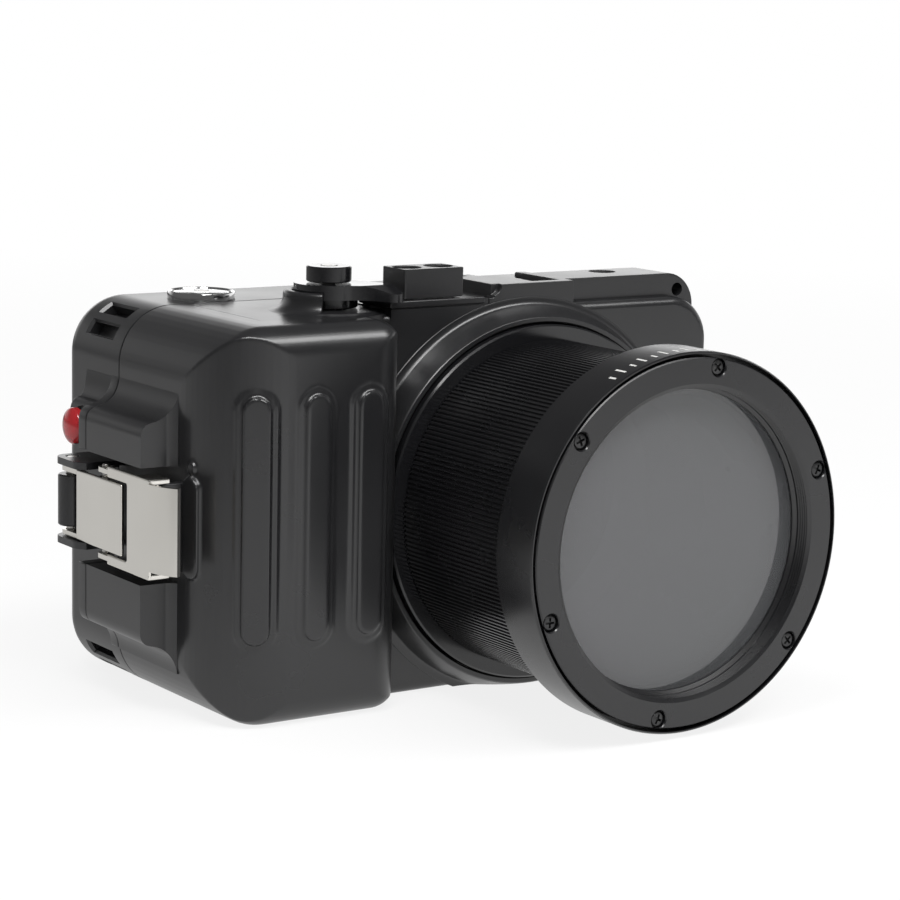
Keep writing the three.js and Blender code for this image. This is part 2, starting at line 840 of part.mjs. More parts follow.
function makeBackCover() {
  const slab = alongY(caseOutline(0), panelY, backY, backRound);
  const outside = join(
    slab.intersect(block(-gripSide, hingeSide, seamBackY, backY, 0, caseHeight)),
    shoulders(seamBackY, seamY + padRear),
    alongY(shoulderOutline(upperPadBottom, upperPadTop, recordBoss), seamBackY, seamY + recordZoneLength),
    latchEars(),
    caseKnuckle(hingeBottom + knuckleLength + seatGap, hingeTop - knuckleLength - seatGap, 1),
  );
  const sealGroove = ringOutline(
    caseOutline(mainSealInset - seatGap),
    caseOutline(mainSealInset + mainSealWidth + seatGap),
  );
  return cut(
    outside,
    alongY(bayOutline(), panelY, backInnerY),
    alongY(sealGroove, seamY, seamBackY + mainSealThickness + seatGap),
    alongY(windowOutline(0), seamY, backY + overrun),
    alongY(windowOutline(windowLedge), windowSeatY, backY + overrun),
    buttonHoles(),
    recordHole(),
    cornerSlots(),
    roofShaftHole(-dialX, dialY, dialShaftRadius),
  );
}

function makeMainSeal() {
  const ring = ringOutline(caseOutline(mainSealInset), caseOutline(mainSealInset + mainSealWidth));
  return alongY(ring, seamFrontY + seatGap, seamFrontY + seatGap + mainSealThickness);
}

function makeHingePin() {
  return turnedZ(rod(casePinRadius, hingeBottom - casePinEnd, hingeTop + casePinEnd), hingeX, seamY, smallFacets);
}

function makePortBaseRing() {
  const grooveEnd = neckGrooveY + neckSealWidth + 2 * seatGap;
  const body = portTurned([
    [barrelBore, collarY],
    [collarRadius, collarY],
    [collarRadius, collarRearY],
    [neckRadius, collarRearY],
    [neckRadius, neckGrooveY],
    [neckRadius - neckGroove, neckGrooveY],
    [neckRadius - neckGroove, grooveEnd],
    [neckRadius, grooveEnd],
    [neckRadius, neckEndY],
    [barrelBore, neckEndY],
  ]);
  return cut(body, portTurned(rod(rearSpigotRadius + seatGap, collarY - overrun, socketY)));
}

function makePortBaseSeal() {
  const front = neckGrooveY + seatGap;
  return portTurned(sleeve(neckRadius - neckGroove + seatGap, neckRadius, front, front + neckSealWidth));
}

function makePortLockRing() {
  const front = wallInnerY + seatGap;
  return portTurned(sleeve(neckRadius + seatGap, lockRingRadius, front, front + lockRingThickness));
}

function knurlOutline() {
  const turn = 2 * Math.PI / barrelRibs;
  const points = [];
  for (let rib = 0; rib < barrelRibs; rib += 1) {
    for (const [radius, angle] of [[barrelRadius, rib], [barrelRadius - barrelRibDepth, rib + 1 / 2]]) {
      points.push([radius * Math.cos(angle * turn), radius * Math.sin(angle * turn)]);
    }
  }
  return polygon(points);
}

function makePortBarrel() {
  const knurl = extruded(knurlOutline(), barrelRearY - barrelFrontY, 0).rotateX(Math.PI / 2);
  const body = join(
    toSolid(knurl.translate(0, barrelRearY, axisHeight)),
    portTurned(rod(frontSpigotRadius, barrelFrontY - spigotLength, barrelRearY)),
    portTurned(rod(rearSpigotRadius, barrelFrontY, socketY - seatGap)),
  );
  return cut(body, portTurned(rod(barrelBore, ringY, panelY)));
}

function screwPlaces() {
  const places = [];
  for (let index = 0; index < screwCount; index += 1) {
    const angle = THREE.MathUtils.degToRad(firstScrew) + 2 * Math.PI * index / screwCount;
    places.push([screwCircle * Math.cos(angle), axisHeight + screwCircle * Math.sin(angle)]);
  }
  return places;
}

function screwHoles(radius, y0, y1) {
  return join(...screwPlaces().map(([x, z]) => turnedY(rod(radius, y0, y1), x, z, screwFacets)));
}

function makePortFrontRing() {
  const body = portTurned([
    [frontSpigotRadius + seatGap, ringWebY],
    [glassRadius + seatGap, ringWebY],
    [glassRadius + seatGap, glassY],
    [plateRadius + seatGap, glassY],
    [plateRadius + seatGap, ringY],
    [ringRadius, ringY],
    [ringRadius, ringRearY],
    [frontSpigotRadius + seatGap, ringRearY],
  ]);
  const screwEnd = ringY + screwSink + screwLength + seatGap;
  return cut(body, screwHoles(screwShankRadius + runningGap, plateRearY, screwEnd));
}

function makeRetainingPlate() {
  const stepY = ringY + mouthDepth;
  const body = portTurned([
    [mouthRadius, ringY],
    [plateRadius, ringY],
    [plateRadius, plateRearY],
    [bezelRadius, plateRearY],
    [bezelRadius, stepY],
    [mouthRadius, stepY],
  ]);
  const seat = ringY + screwSink + screwHeadHeight + seatGap;
  return cut(
    body,
    screwHoles(screwHeadRadius + seatGap, ringY - overrun, seat),
    screwHoles(screwShankRadius + runningGap, ringY - overrun, plateRearY + overrun),
  );
}

function makeScrew([x, z]) {
  const top = ringY + screwSink;
  const under = top + screwHeadHeight;
  const profile = [
    [0, top],
    [screwHeadRadius, top],
    [screwHeadRadius, under],
    [screwShankRadius, under],
    [screwShankRadius, top + screwLength],
    [0, top + screwLength],
  ];
  const half = screwSlotWidth / 2;
  const arm = screwHeadRadius * screwSlotShare;
  const floor = top + screwSlotDepth;
  return cut(
    turnedY(profile, x, z, screwFacets),
    block(x - arm, x + arm, top - overrun, floor, z - half, z + half),
    block(x - half, x + half, top - overrun, floor, z - arm, z + arm),
  );
}

function makePortGlass() {
  return portTurned(rod(glassRadius, glassY, glassY + glassThickness));
}

function makePortGlassSeal() {
  const inner = glassRadius - glassSealWidth;
  return portTurned(sleeve(inner, glassRadius, glassSealY, glassSealY + glassSealThickness));
}

function makeSocketBlock() {
  const x0 = -socketBlockLeft;
  const y0 = panelY + seatGap;
  const z0 = ledgeTop + seatGap;
  const z1 = z0 + socketBlockHeight;
  const plan = evenOutline(x0, x0 + socketBlockWidth, y0, y0 + socketBlockDepth, socketBlockCorner);
  const middleX = x0 + socketBlockWidth / 2;
  const middleY = y0 + socketBlockDepth / 2;
  const socket = rod(socketRadius, z1 - socketDepth, z1 + overrun);
  return cut(
    alongZ(plan, z0, z1),
    turnedZ(socket, middleX - socketPitch / 2, middleY, smallFacets),
    turnedZ(socket, middleX + socketPitch / 2, middleY, smallFacets),
  );
}

function makeShutterLever() {
  const clear = shutterTubeRadius + seatGap;
  const collarZ = hubTop - hubCollarHeight;
  const hub = turnedZ([
    [clear, hubBottom],
    [hubRadius, hubBottom],
    [hubRadius, collarZ - seatGap],
    [hubCollarRadius, collarZ],
    [hubTopRadius, hubTop],
    [clear, hubTop],
  ], -shutterX, shutterY, knobFacets);
  const half = leverWidth / 2;
  const armX = leverElbow - shutterX;
  const rear = shutterY + half;
  const front = shutterY - half;
  const tip = shutterY - leverForward;
  const under = hubTop - leverHeight;
  const cross = block(hubTopRadius - shutterX, armX, front, rear, under, hubTop);
  const side = polygon([
    [tip, under - leverDrop],
    [front, under],
    [rear, under],
    [rear, hubTop],
    [front, hubTop],
    [tip, hubTop - leverDrop],
  ]);
  const plan = evenOutline(armX - half, armX + half, tip, rear, leverCorner);
  const forward = alongX(side, armX - half, armX + half).intersect(alongZ(plan, under - leverDrop, hubTop));
  return join(hub, cross, forward);
}

function makeShutterShaft() {
  const x = -shutterX;
  const tube = turnedZ(rod(shutterTubeRadius, shaftEnd, hubTop), x, shutterY, smallFacets);
  const bore = turnedZ(rod(shutterTubeBore, shaftEnd - overrun, hubTop + overrun), x, shutterY, smallFacets);
  const half = fingerThickness / 2;
  const top = shaftEnd + fingerThickness;
  const finger = block(x, x + fingerLength, shutterY - half, shutterY + half, shaftEnd, top);
  return cut(join(tube, finger), bore);
}

function makeShutterSpring() {
  const bottom = shaftEnd + fingerThickness + seatGap;
  const coil = sleeve(springRadius - springWire, springRadius, bottom, bottom + springLength);
  return turnedZ(coil, -shutterX, shutterY, smallFacets);
}

function makePowerKnob() {
  const clear = powerShaftRadius + seatGap;
  return turnedZ([
    [clear, knobBottom],
    [powerKnobRadius, knobBottom],
    [powerKnobRadius, knobTop - powerKnobEdge],
    [powerKnobRadius - powerKnobEdge, knobTop],
    [clear, knobTop],
  ], -shutterX, shutterY, knobFacets);
}

function makePowerShaft() {
  const x = -shutterX;
  const forkTop = shaftEnd - seatGap;
  const bottom = forkTop - forkThickness;
  const half = fingerThickness / 2;
  const fork = block(x - fingerLength, x, shutterY - half, shutterY + half, bottom, forkTop);
  return join(turnedZ(rod(powerShaftRadius, bottom, knobTop), x, shutterY, smallFacets), fork);
}

function makeModeDial() {
  const outer = dialRadius - dialRimWidth - seatGap;
  const clear = dialShaftRadius + seatGap;
  return turnedZ([
    [clear, dialBottom],
    [outer, dialBottom],
    [outer, dialTop - dialEdge],
    [outer / 2, dialTop],
    [clear, dialTop],
  ], -dialX, dialY, knobFacets);
}

function makeModeDialRim() {
  const inner = dialRadius - dialRimWidth;
  return turnedZ(sleeve(inner, dialRadius, dialBottom, dialTop), -dialX, dialY, knobFacets);
}

function makeModeDialShaft() {
  const wheelTop = shaftEnd + driveWheelThickness;
  return turnedZ([
    [0, shaftEnd],
    [driveWheelRadius, shaftEnd],
    [driveWheelRadius, wheelTop],
    [dialShaftRadius, wheelTop],
    [dialShaftRadius, dialTop],
    [0, dialTop],
  ], -dialX, dialY, smallFacets);
}

function makeRecordButton() {
  const rim = recordUnder + recordHead;
  const stemEnd = gripSide - sideWall - recordStemInside;
  const profile = [
    [0, stemEnd],
    [recordStemRadius, stemEnd],
    [recordStemRadius, recordUnder],
    [recordRadius, recordUnder],
  ];
  for (let step = 0; step < roundFacets; step += 1) {
    const angle = Math.PI / 2 * step / roundFacets;
    profile.push([recordRadius * Math.cos(angle), rim + recordDome * Math.sin(angle)]);
  }
  profile.push([0, rim + recordDome]);
  return turnedSide(profile, recordY, recordZ, smallFacets);
}

function makeRecordSpring() {
  const inner = recordStemRadius + seatGap;
  const from = recordFace - recordRecess + seatGap;
  return turnedSide(sleeve(inner, inner + springWall, from, recordFace), recordY, recordZ, smallFacets);
}

function makeLatchPin() {
  const bottom = linkBottom - seatGap - earThickness - latchPinEnd;
  const top = linkTop + seatGap + earThickness + latchPinEnd;
  return turnedZ(rod(latchPinRadius, bottom, top), -latchPinX, latchPinY, smallFacets);
}

function makeLatchBarrel() {
  const inner = latchPinRadius + runningGap;
  const bottom = linkBottom + knuckleHeight + seatGap;
  const top = linkTop - knuckleHeight - seatGap;
  return turnedZ(sleeve(inner, rollRadius, bottom, top), -latchPinX, latchPinY, smallFacets);
}

// The knuckles that join the link plate to both of its pins, at one end of its height.
function linkKnuckles(bottom, top) {
  const reach = leverKnuckleRadius;
  return join(
    block(-plateFace, -latchPinX, seamY, latchPinY, bottom, top),
    turnedZ(rod(linkKnuckleRadius, bottom, top), -latchPinX, latchPinY, smallFacets),
    block(-plateFace, -leverPinX, leverPinY - reach, leverPinY + reach, bottom, top),
    turnedZ(rod(reach, bottom, top), -leverPinX, leverPinY, smallFacets),
  );
}

function latchBores() {
  return join(
    turnedZ(rod(latchPinRadius + runningGap, 0, caseHeight), -latchPinX, latchPinY, smallFacets),
    turnedZ(rod(leverPinRadius + runningGap, 0, caseHeight), -leverPinX, leverPinY, smallFacets),
  );
}

function makeLatchLink() {
  const link = join(
    block(-plateFace, -plateInner, linkFrontY, seamY + linkRear, linkBottom, linkTop),
    linkKnuckles(linkBottom, linkBottom + knuckleHeight),
    linkKnuckles(linkTop - knuckleHeight, linkTop),
  );
  return cut(link, latchBores());
}

function makeLeverPin() {
  const profile = rod(leverPinRadius, latchBottom - leverPinEnd, latchTop + leverPinEnd);
  return turnedZ(profile, -leverPinX, leverPinY, smallFacets);
}

function leverArm(bottom, top) {
  const stop = seamY - armStopShare * frontDepth;
  const lugBottom = bottom + lugInset;
  const lugTop = top - lugInset;
  return join(
    block(-plateFace, -plateInner, linkFrontY - leverGap, stop, bottom, top),
    block(-plateFace, -leverPinX, stop - root, leverPinY, lugBottom, lugTop),
    turnedZ(rod(leverKnuckleRadius, lugBottom, lugTop), -leverPinX, leverPinY, smallFacets),
  );
}

// The lip is a curled sheet: out from the bend, then in towards the case.
function lipOutline() {
  const tipY = bendY - lipLength;
  const curveY = bendY - lipLength * lipCurveShare;
  const shape = new THREE.Shape();
  shape.moveTo(-plateFace, bendY);
  shape.quadraticCurveTo(-plateFace, curveY, lipTurn - plateFace, tipY);
  shape.lineTo(lipTurn - plateInner, tipY + plateSheet / 2);
  shape.quadraticCurveTo(-plateInner, curveY, -plateInner, bendY);
  return shape;
}

function makeLatchLever() {
  const flangeX = hookReach - plateFace;
  const flangeRear = bendY + hookLength;
  const body = join(
    block(-plateFace, -plateInner, bendY, linkFrontY - leverGap, latchBottom, latchTop),
    leverArm(latchBottom, linkBottom - leverGap),
    leverArm(linkTop + leverGap, latchTop),
    block(-plateFace, flangeX, bendY, flangeRear, latchBottom, latchBottom + hookSheet),
    block(-plateFace, flangeX, bendY, flangeRear, latchTop - hookSheet, latchTop),
    block(-plateFace, flangeX, bendY, bendY + plateSheet, latchBottom, latchTop),
    alongZ(lipOutline(), latchBottom + lipInset, latchTop - lipInset),
  );
  return cut(body, latchBores());
}

function makeTripodInsert() {
  const profile = sleeve(insertBore, insertRadius, seatGap, seatGap + insertDepth);
  return turnedZ(profile, 0, panelY + insertSetback, smallFacets);
}

function makeCameraTray() {
  const plan = evenOutline(-trayLeft, trayRight, trayFront, trayFront + trayDepth, trayCorner);
  return alongZ(plan, trayBottom, trayTop);
}

function makeTrayPad() {
  const plan = evenOutline(
    trayPadInset - trayLeft,
    trayRight - trayPadInset,
    trayFront + trayPadInset,
    trayFront + trayDepth - trayPadInset,
    trayCorner,
  );
  return alongZ(plan, trayTop + seatGap, trayTop + seatGap + trayPadThickness);
}

function makeWindow() {
  return alongY(windowOutline(windowLedge - seatGap), backY - windowThickness, backY);
}

function makeWindowSeal() {
  const ring = ringOutline(windowOutline(windowLedge - seatGap), windowOutline(seatGap));
  return alongY(ring, windowSeatY + seatGap, windowSeatY + seatGap + windowGasket);
}

function makeWindowFrame() {
  const ring = ringOutline(windowOutline(windowLedge + windowFrameOverlap), windowOutline(windowFrameLip));
  return alongY(ring, backY + seatGap, backY + seatGap + windowFrameThickness);
}

function makeButton(x, z) {
  const stemEnd = backInnerY - buttonStemInside;
  return turnedY([
    [0, stemEnd],
    [buttonStemRadius, stemEnd],
    [buttonStemRadius, buttonUnder],
    [buttonRadius, buttonUnder],
    [buttonRadius, buttonTop - buttonEdge],
    [buttonRadius - buttonEdge, buttonTop],
    [0, buttonTop],
  ], x, z, buttonFacets);
}

function makeButtonSpring(x, z) {
  const inner = buttonStemRadius + seatGap;
  const from = backY - buttonRecess + seatGap;
  return turnedY(sleeve(inner, inner + springWall, from, from + buttonSpringLength), x, z, screwFacets);
}

addPiece('front_shell', makeFrontShell(), 'shell');
addPiece('back_cover', makeBackCover(), 'shell');
addPiece('main_seal', makeMainSeal(), 'seal');
addPiece('hinge_pin', makeHingePin(), 'steel');
addPiece('port_base_ring', makePortBaseRing(), 'anodised');
addPiece('port_base_seal', makePortBaseSeal(), 'rubber');
addPiece('port_lock_ring', makePortLockRing(), 'anodised');
addPiece('port_barrel', makePortBarrel(), 'anodised');
addPiece('port_front_ring', makePortFrontRing(), 'anodised');
addPiece('port_retaining_plate', makeRetainingPlate(), 'anodised');
addPiece('port_glass', makePortGlass(), 'glass');
addPiece('port_glass_seal', makePortGlassSeal(), 'rubber');
screwPlaces().forEach((place, index) => {
  addPiece(`port_screw_${index + 1}`, makeScrew(place), 'steel');
});
addPiece('fibre_socket_block', makeSocketBlock(), 'anodised');
addPiece('shutter_lever', makeShutterLever(), 'anodised');
addPiece('shutter_shaft', makeShutterShaft(), 'steel');
addPiece('shutter_shaft_seal', shaftSeal(-shutterX, shutterY, shutterTubeRadius), 'rubber');
addPiece('shutter_spring', makeShutterSpring(), 'steel');
addPiece('power_knob', makePowerKnob(), 'anodised');
addPiece('power_shaft', makePowerShaft(), 'steel');
addPiece('mode_dial_knob', makeModeDial(), 'clear');
addPiece('mode_dial_rim', makeModeDialRim(), 'chrome');
addPiece('mode_dial_shaft', makeModeDialShaft(), 'steel');
addPiece('mode_dial_seal', shaftSeal(-dialX, dialY, dialShaftRadius), 'rubber');
addPiece('record_button', makeRecordButton(), 'red');
addPiece('record_button_spring', makeRecordSpring(), 'steel');
addPiece('latch_hinge_pin', makeLatchPin(), 'steel');
addPiece('latch_barrel', makeLatchBarrel(), 'anodised');
addPiece('latch_link', makeLatchLink(), 'steel');
addPiece('latch_lever_pin', makeLeverPin(), 'steel');
addPiece('latch_lever', makeLatchLever(), 'steel');
addPiece('tripod_insert', makeTripodInsert(), 'brass');
addPiece('camera_tray', makeCameraTray(), 'anodised');
addPiece('tray_pad', makeTrayPad(), 'rubber');
addPiece('back_window', makeWindow(), 'clear');
addPiece('window_seal', makeWindowSeal(), 'rubber');
addPiece('window_frame', makeWindowFrame(), 'anodised');
backButtons.forEach(([name, x, z]) => {
  addPiece(name, makeButton(x, z), 'anodised');
  addPiece(`${name}_spring`, makeButtonSpring(x, z), 'steel');
});

export default housing;
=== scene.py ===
import math
import bpy
from mathutils import Matrix, Vector


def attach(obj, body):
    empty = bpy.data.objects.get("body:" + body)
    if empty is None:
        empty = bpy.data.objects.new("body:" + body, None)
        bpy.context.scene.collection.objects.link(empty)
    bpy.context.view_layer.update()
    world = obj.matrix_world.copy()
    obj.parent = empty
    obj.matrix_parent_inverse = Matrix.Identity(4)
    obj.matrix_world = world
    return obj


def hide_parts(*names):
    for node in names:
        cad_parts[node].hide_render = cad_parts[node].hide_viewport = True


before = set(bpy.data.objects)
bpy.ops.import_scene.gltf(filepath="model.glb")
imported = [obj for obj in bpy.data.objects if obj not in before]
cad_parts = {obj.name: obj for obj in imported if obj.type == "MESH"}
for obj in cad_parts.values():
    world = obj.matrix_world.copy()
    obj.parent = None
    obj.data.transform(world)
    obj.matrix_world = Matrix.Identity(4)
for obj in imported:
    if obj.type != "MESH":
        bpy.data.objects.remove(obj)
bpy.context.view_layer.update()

mm = 0.001


# selecting and small moves

def deselect():
    bpy.ops.object.select_all(action="DESELECT")


def only(piece):
    deselect()
    piece.select_set(True)
    bpy.context.view_layer.objects.active = piece


def editPart(piece, kind, test):
    only(piece)
    bpy.ops.object.mode_set(mode="EDIT")
    bpy.ops.mesh.select_mode(type=kind)
    bpy.ops.mesh.select_all(action="DESELECT")
    bpy.ops.object.mode_set(mode="OBJECT")
    mesh = piece.data
    places = [vertex.co / mm for vertex in mesh.vertices]
    if kind == "VERT":
        for vertex in mesh.vertices:
            vertex.select = bool(test(places[vertex.index]))
    elif kind == "EDGE":
        for edge in mesh.edges:
            edge.select = bool(test(places[edge.vertices[0]], places[edge.vertices[1]]))
    else:
        for face in mesh.polygons:
            face.select = bool(test(face.center / mm, face.normal))
    bpy.ops.object.mode_set(mode="EDIT")


def leaveEdit():
    bpy.ops.object.mode_set(mode="OBJECT")


def settle(piece, name):
    only(piece)
    bpy.ops.object.transform_apply(location=True, rotation=True, scale=True)
    piece.name = name
    piece.data.name = name
    return piece


# starting forms, all sizes in millimetres

def addBox(name, low, high):
    deselect()
    centre = [(a + b) / 2 * mm for a, b in zip(low, high)]
    span = [(b - a) * mm for a, b in zip(low, high)]
    bpy.ops.mesh.primitive_cube_add(size=1, location=centre, scale=span)
    return settle(bpy.context.object, name)


def drawLine(points, closed):
    deselect()
    bpy.ops.mesh.primitive_plane_add(size=mm, location=(0, 0, 0))
    bpy.ops.object.mode_set(mode="EDIT")
    bpy.ops.mesh.select_mode(type="VERT")
    bpy.ops.mesh.select_all(action="SELECT")
    bpy.ops.mesh.merge(type="CENTER")
    bpy.ops.transform.translate(value=points[0])
    for here, there in zip(points, points[1:]):
        bpy.ops.mesh.extrude_region_move(TRANSFORM_OT_translate={"value": there - here})
    leaveEdit()
    piece = bpy.context.object
    last = len(piece.data.vertices) - 1
    if closed:
        for vertex in piece.data.vertices:
            vertex.select = vertex.index in (0, last)
        bpy.ops.object.mode_set(mode="EDIT")
        bpy.ops.mesh.edge_face_add()
        leaveEdit()
    return piece


planes = {
    "XY": ((1, 0, 0), (0, 1, 0), (0, 0, 1)),
    "XZ": ((1, 0, 0), (0, 0, 1), (0, 1, 0)),
    "YZ": ((0, 1, 0), (0, 0, 1), (1, 0, 0)),
}


# an outline drawn in one plane and carried along the third axis
def addExtruded(name, plane, outline, start, end):
    across, upward, along = [Vector(axis) for axis in planes[plane]]
    points = [(across * u + upward * v + along * start) * mm for u, v in outline]
    piece = drawLine(points, True)
    bpy.ops.object.mode_set(mode="EDIT")
    bpy.ops.mesh.select_all(action="SELECT")
    bpy.ops.mesh.edge_face_add()
    bpy.ops.mesh.extrude_region_move(TRANSFORM_OT_translate={"value": along * (end - start) * mm})
    bpy.ops.mesh.select_all(action="SELECT")
    bpy.ops.mesh.normals_make_consistent(inside=False)
    leaveEdit()
    return settle(piece, name)


turns = {"Z": (0, 0, 0), "Y": (-math.pi / 2, 0, 0), "-X": (0, -math.pi / 2, 0)}


# a profile of (radius, height) pairs spun round an axis through the centre
def addTurned(name, profile, centre, axis="Y", steps=96):
    hollow = profile[0][0] > 0
    points = [Vector((radius, 0, height)) * mm for radius, height in profile]
    piece = drawLine(points, hollow)
    bpy.ops.object.mode_set(mode="EDIT")
    bpy.ops.mesh.select_all(action="SELECT")
    bpy.ops.mesh.spin(steps=steps, angle=2 * math.pi, center=(0, 0, 0), axis=(0, 0, 1))
    bpy.ops.mesh.select_all(action="SELECT")
    bpy.ops.mesh.remove_doubles(threshold=1e-7)
    bpy.ops.mesh.normals_make_consistent(inside=False)
    leaveEdit()
    piece.rotation_euler = turns[axis]
    piece.location = Vector(centre) * mm
    return settle(piece, name)


# points along outlines

def arcPoints(centreU, centreV, radius, fromAngle, toAngle, count=10):
    found = []
    for step in range(count + 1):
        angle = math.radians(fromAngle + (toAngle - fromAngle) * step / count)
        found.append((centreU + radius * math.cos(angle), centreV + radius * math.sin(angle)))
    return found


def bowPoints(first, middle, last, count=10):
    found = []
    for step in range(count + 1):
        share = step / count
        a, b, c = (1 - share) ** 2, 2 * share * (1 - share), share ** 2
        found.append(tuple(a * p + b * q + c * r for p, q, r in zip(first, middle, last)))
    return found


def roundedRectangle(u0, u1, v0, v1, corners, count=12):
    lowLeft, lowRight, highRight, highLeft = corners
    outline = []
    places = (
        (u0 + lowLeft, v0 + lowLeft, lowLeft, 180), (u1 - lowRight, v0 + lowRight, lowRight, 270),
        (u1 - highRight, v1 - highRight, highRight, 0), (u0 + highLeft, v1 - highLeft, highLeft, 90),
    )
    for u, v, radius, angle in places:
        outline += arcPoints(u, v, radius, angle, angle + 90, count) if radius > 0 else [(u, v)]
    return outline


# finishing operations

def applyModifier(piece, kind, **settings):
    only(piece)
    bpy.ops.object.modifier_add(type=kind)
    modifier = piece.modifiers[-1]
    for key, value in settings.items():
        setattr(modifier, key, value)
    bpy.ops.object.modifier_apply(modifier=modifier.name)
    return piece


def combine(piece, others, operation):
    applyModifier(piece, "TRIANGULATE")
    for other in others:
        applyModifier(other, "TRIANGULATE")
        applyModifier(piece, "BOOLEAN", operation=operation, solver="EXACT", object=other)
        bpy.data.objects.remove(other)
    return piece


def heal(piece):
    return applyModifier(piece, "DECIMATE", decimate_type="DISSOLVE", angle_limit=math.radians(0.2))


def roundEdges(piece, test, radius, segments=4):
    editPart(piece, "EDGE", test)
    bpy.ops.mesh.bevel(
        offset=radius * mm, segments=segments, affect="EDGES", offset_type="OFFSET", clamp_overlap=True)
    leaveEdit()
    return piece


def soften(piece, width, segments=2, angle=35):
    heal(piece)
    return applyModifier(piece, "BEVEL", width=width * mm, segments=segments, limit_method="ANGLE",
                         angle_limit=math.radians(angle), miter_outer="MITER_ARC", use_clamp_overlap=True)


def shade(piece, angle=35):
    only(piece)
    bpy.ops.object.shade_smooth_by_angle(angle=math.radians(angle))
    applyModifier(piece, "WEIGHTED_NORMAL", keep_sharp=True, weight=50)
    return piece


def joinAll(pieces, name):
    deselect()
    for piece in pieces:
        piece.select_set(True)
    bpy.context.view_layer.objects.active = pieces[0]
    bpy.ops.object.join()
    return settle(pieces[0], name)


def copyPiece(piece, name, shift=(0, 0, 0)):
    only(piece)
    bpy.ops.object.duplicate()
    twin = bpy.context.object
    twin.location = Vector(shift) * mm
    return settle(twin, name)


def turnAbout(piece, angle, centre, axis):
    only(piece)
    bpy.ops.object.mode_set(mode="EDIT")
    bpy.ops.mesh.select_all(action="SELECT")
    bpy.ops.transform.rotate(value=-math.radians(angle), orient_axis=axis, center_override=Vector(centre) * mm)
    leaveEdit()
    return piece


# materials

def newMaterial(name):
    material = bpy.data.materials.new(name)
    material.use_nodes = True
    nodes = material.node_tree.nodes
    shader = nodes["Principled BSDF"]
    return material, nodes, material.node_tree.links, shader


def addNoise(nodes, links, scale, detail, stretch=(1, 1, 1), turn=(0, 0, 0)):
    place = nodes.new("ShaderNodeTexCoord")
    mapping = nodes.new("ShaderNodeMapping")
    mapping.inputs["Scale"].default_value = stretch
    mapping.inputs["Rotation"].default_value = turn
    noise = nodes.new("ShaderNodeTexNoise")
    noise.inputs["Scale"].default_value = scale
    noise.inputs["Detail"].default_value = detail
    links.new(place.outputs["Object"], mapping.inputs["Vector"])
    links.new(mapping.outputs["Vector"], noise.inputs["Vector"])
    return noise.outputs["Fac"]


def addRange(nodes, links, value, low, high, fromLow=0.3, fromHigh=0.7):
    spread = nodes.new("ShaderNodeMapRange")
    spread.inputs["From Min"].default_value = fromLow
    spread.inputs["From Max"].default_value = fromHigh
    spread.inputs["To Min"].default_value = low
    spread.inputs["To Max"].default_value = high
    links.new(value, spread.inputs["Value"])
    return spread.outputs["Result"]


def addColours(nodes, links, value, first, second):
    mix = nodes.new("ShaderNodeMix")
    mix.data_type = "RGBA"
    mix.inputs["A"].default_value = (*first, 1)
    mix.inputs["B"].default_value = (*second, 1)
    links.new(value, mix.inputs["Factor"])
    return mix.outputs["Result"]


def addBump(nodes, links, shader, value, strength, distance):
    bump = nodes.new("ShaderNodeBump")
    bump.inputs["Strength"].default_value = strength
    bump.inputs["Distance"].default_value = distance * mm
    links.new(value, bump.inputs["Height"])
    links.new(bump.outputs["Normal"], shader.inputs["Normal"])


# a coated or moulded surface: two close colours, uneven gloss and a fine grain
def surfaceFinish(name, look):
    material, nodes, links, shader = newMaterial(name)
    patches = addNoise(nodes, links, look["patch"], 4)
    stretch, turn = look.get("stretch", (1, 1, 1)), look.get("turn", (0, 0, 0))
    grain = addNoise(nodes, links, look["grain"], 3, stretch, turn)
    colour = addColours(nodes, links, addRange(nodes, links, patches, 0, 1), look["colour"], look["second"])
    links.new(colour, shader.inputs["Base Color"])
    links.new(addRange(nodes, links, patches, look["rough"][0], look["rough"][1]), shader.inputs["Roughness"])
    addBump(nodes, links, shader, grain, look["bump"], look["depth"])
    shader.inputs["Metallic"].default_value = look.get("metal", 0)
    shader.inputs["Specular IOR Level"].default_value = look.get("shine", 0.5)
    shader.inputs["Coat Weight"].default_value = look.get("coat", 0)
    shader.inputs["Coat Roughness"].default_value = look.get("coatRough", 0.1)
    shader.inputs["Transmission Weight"].default_value = look.get("clear", 0)
    shader.inputs["IOR"].default_value = look.get("ior", 1.5)
    return material


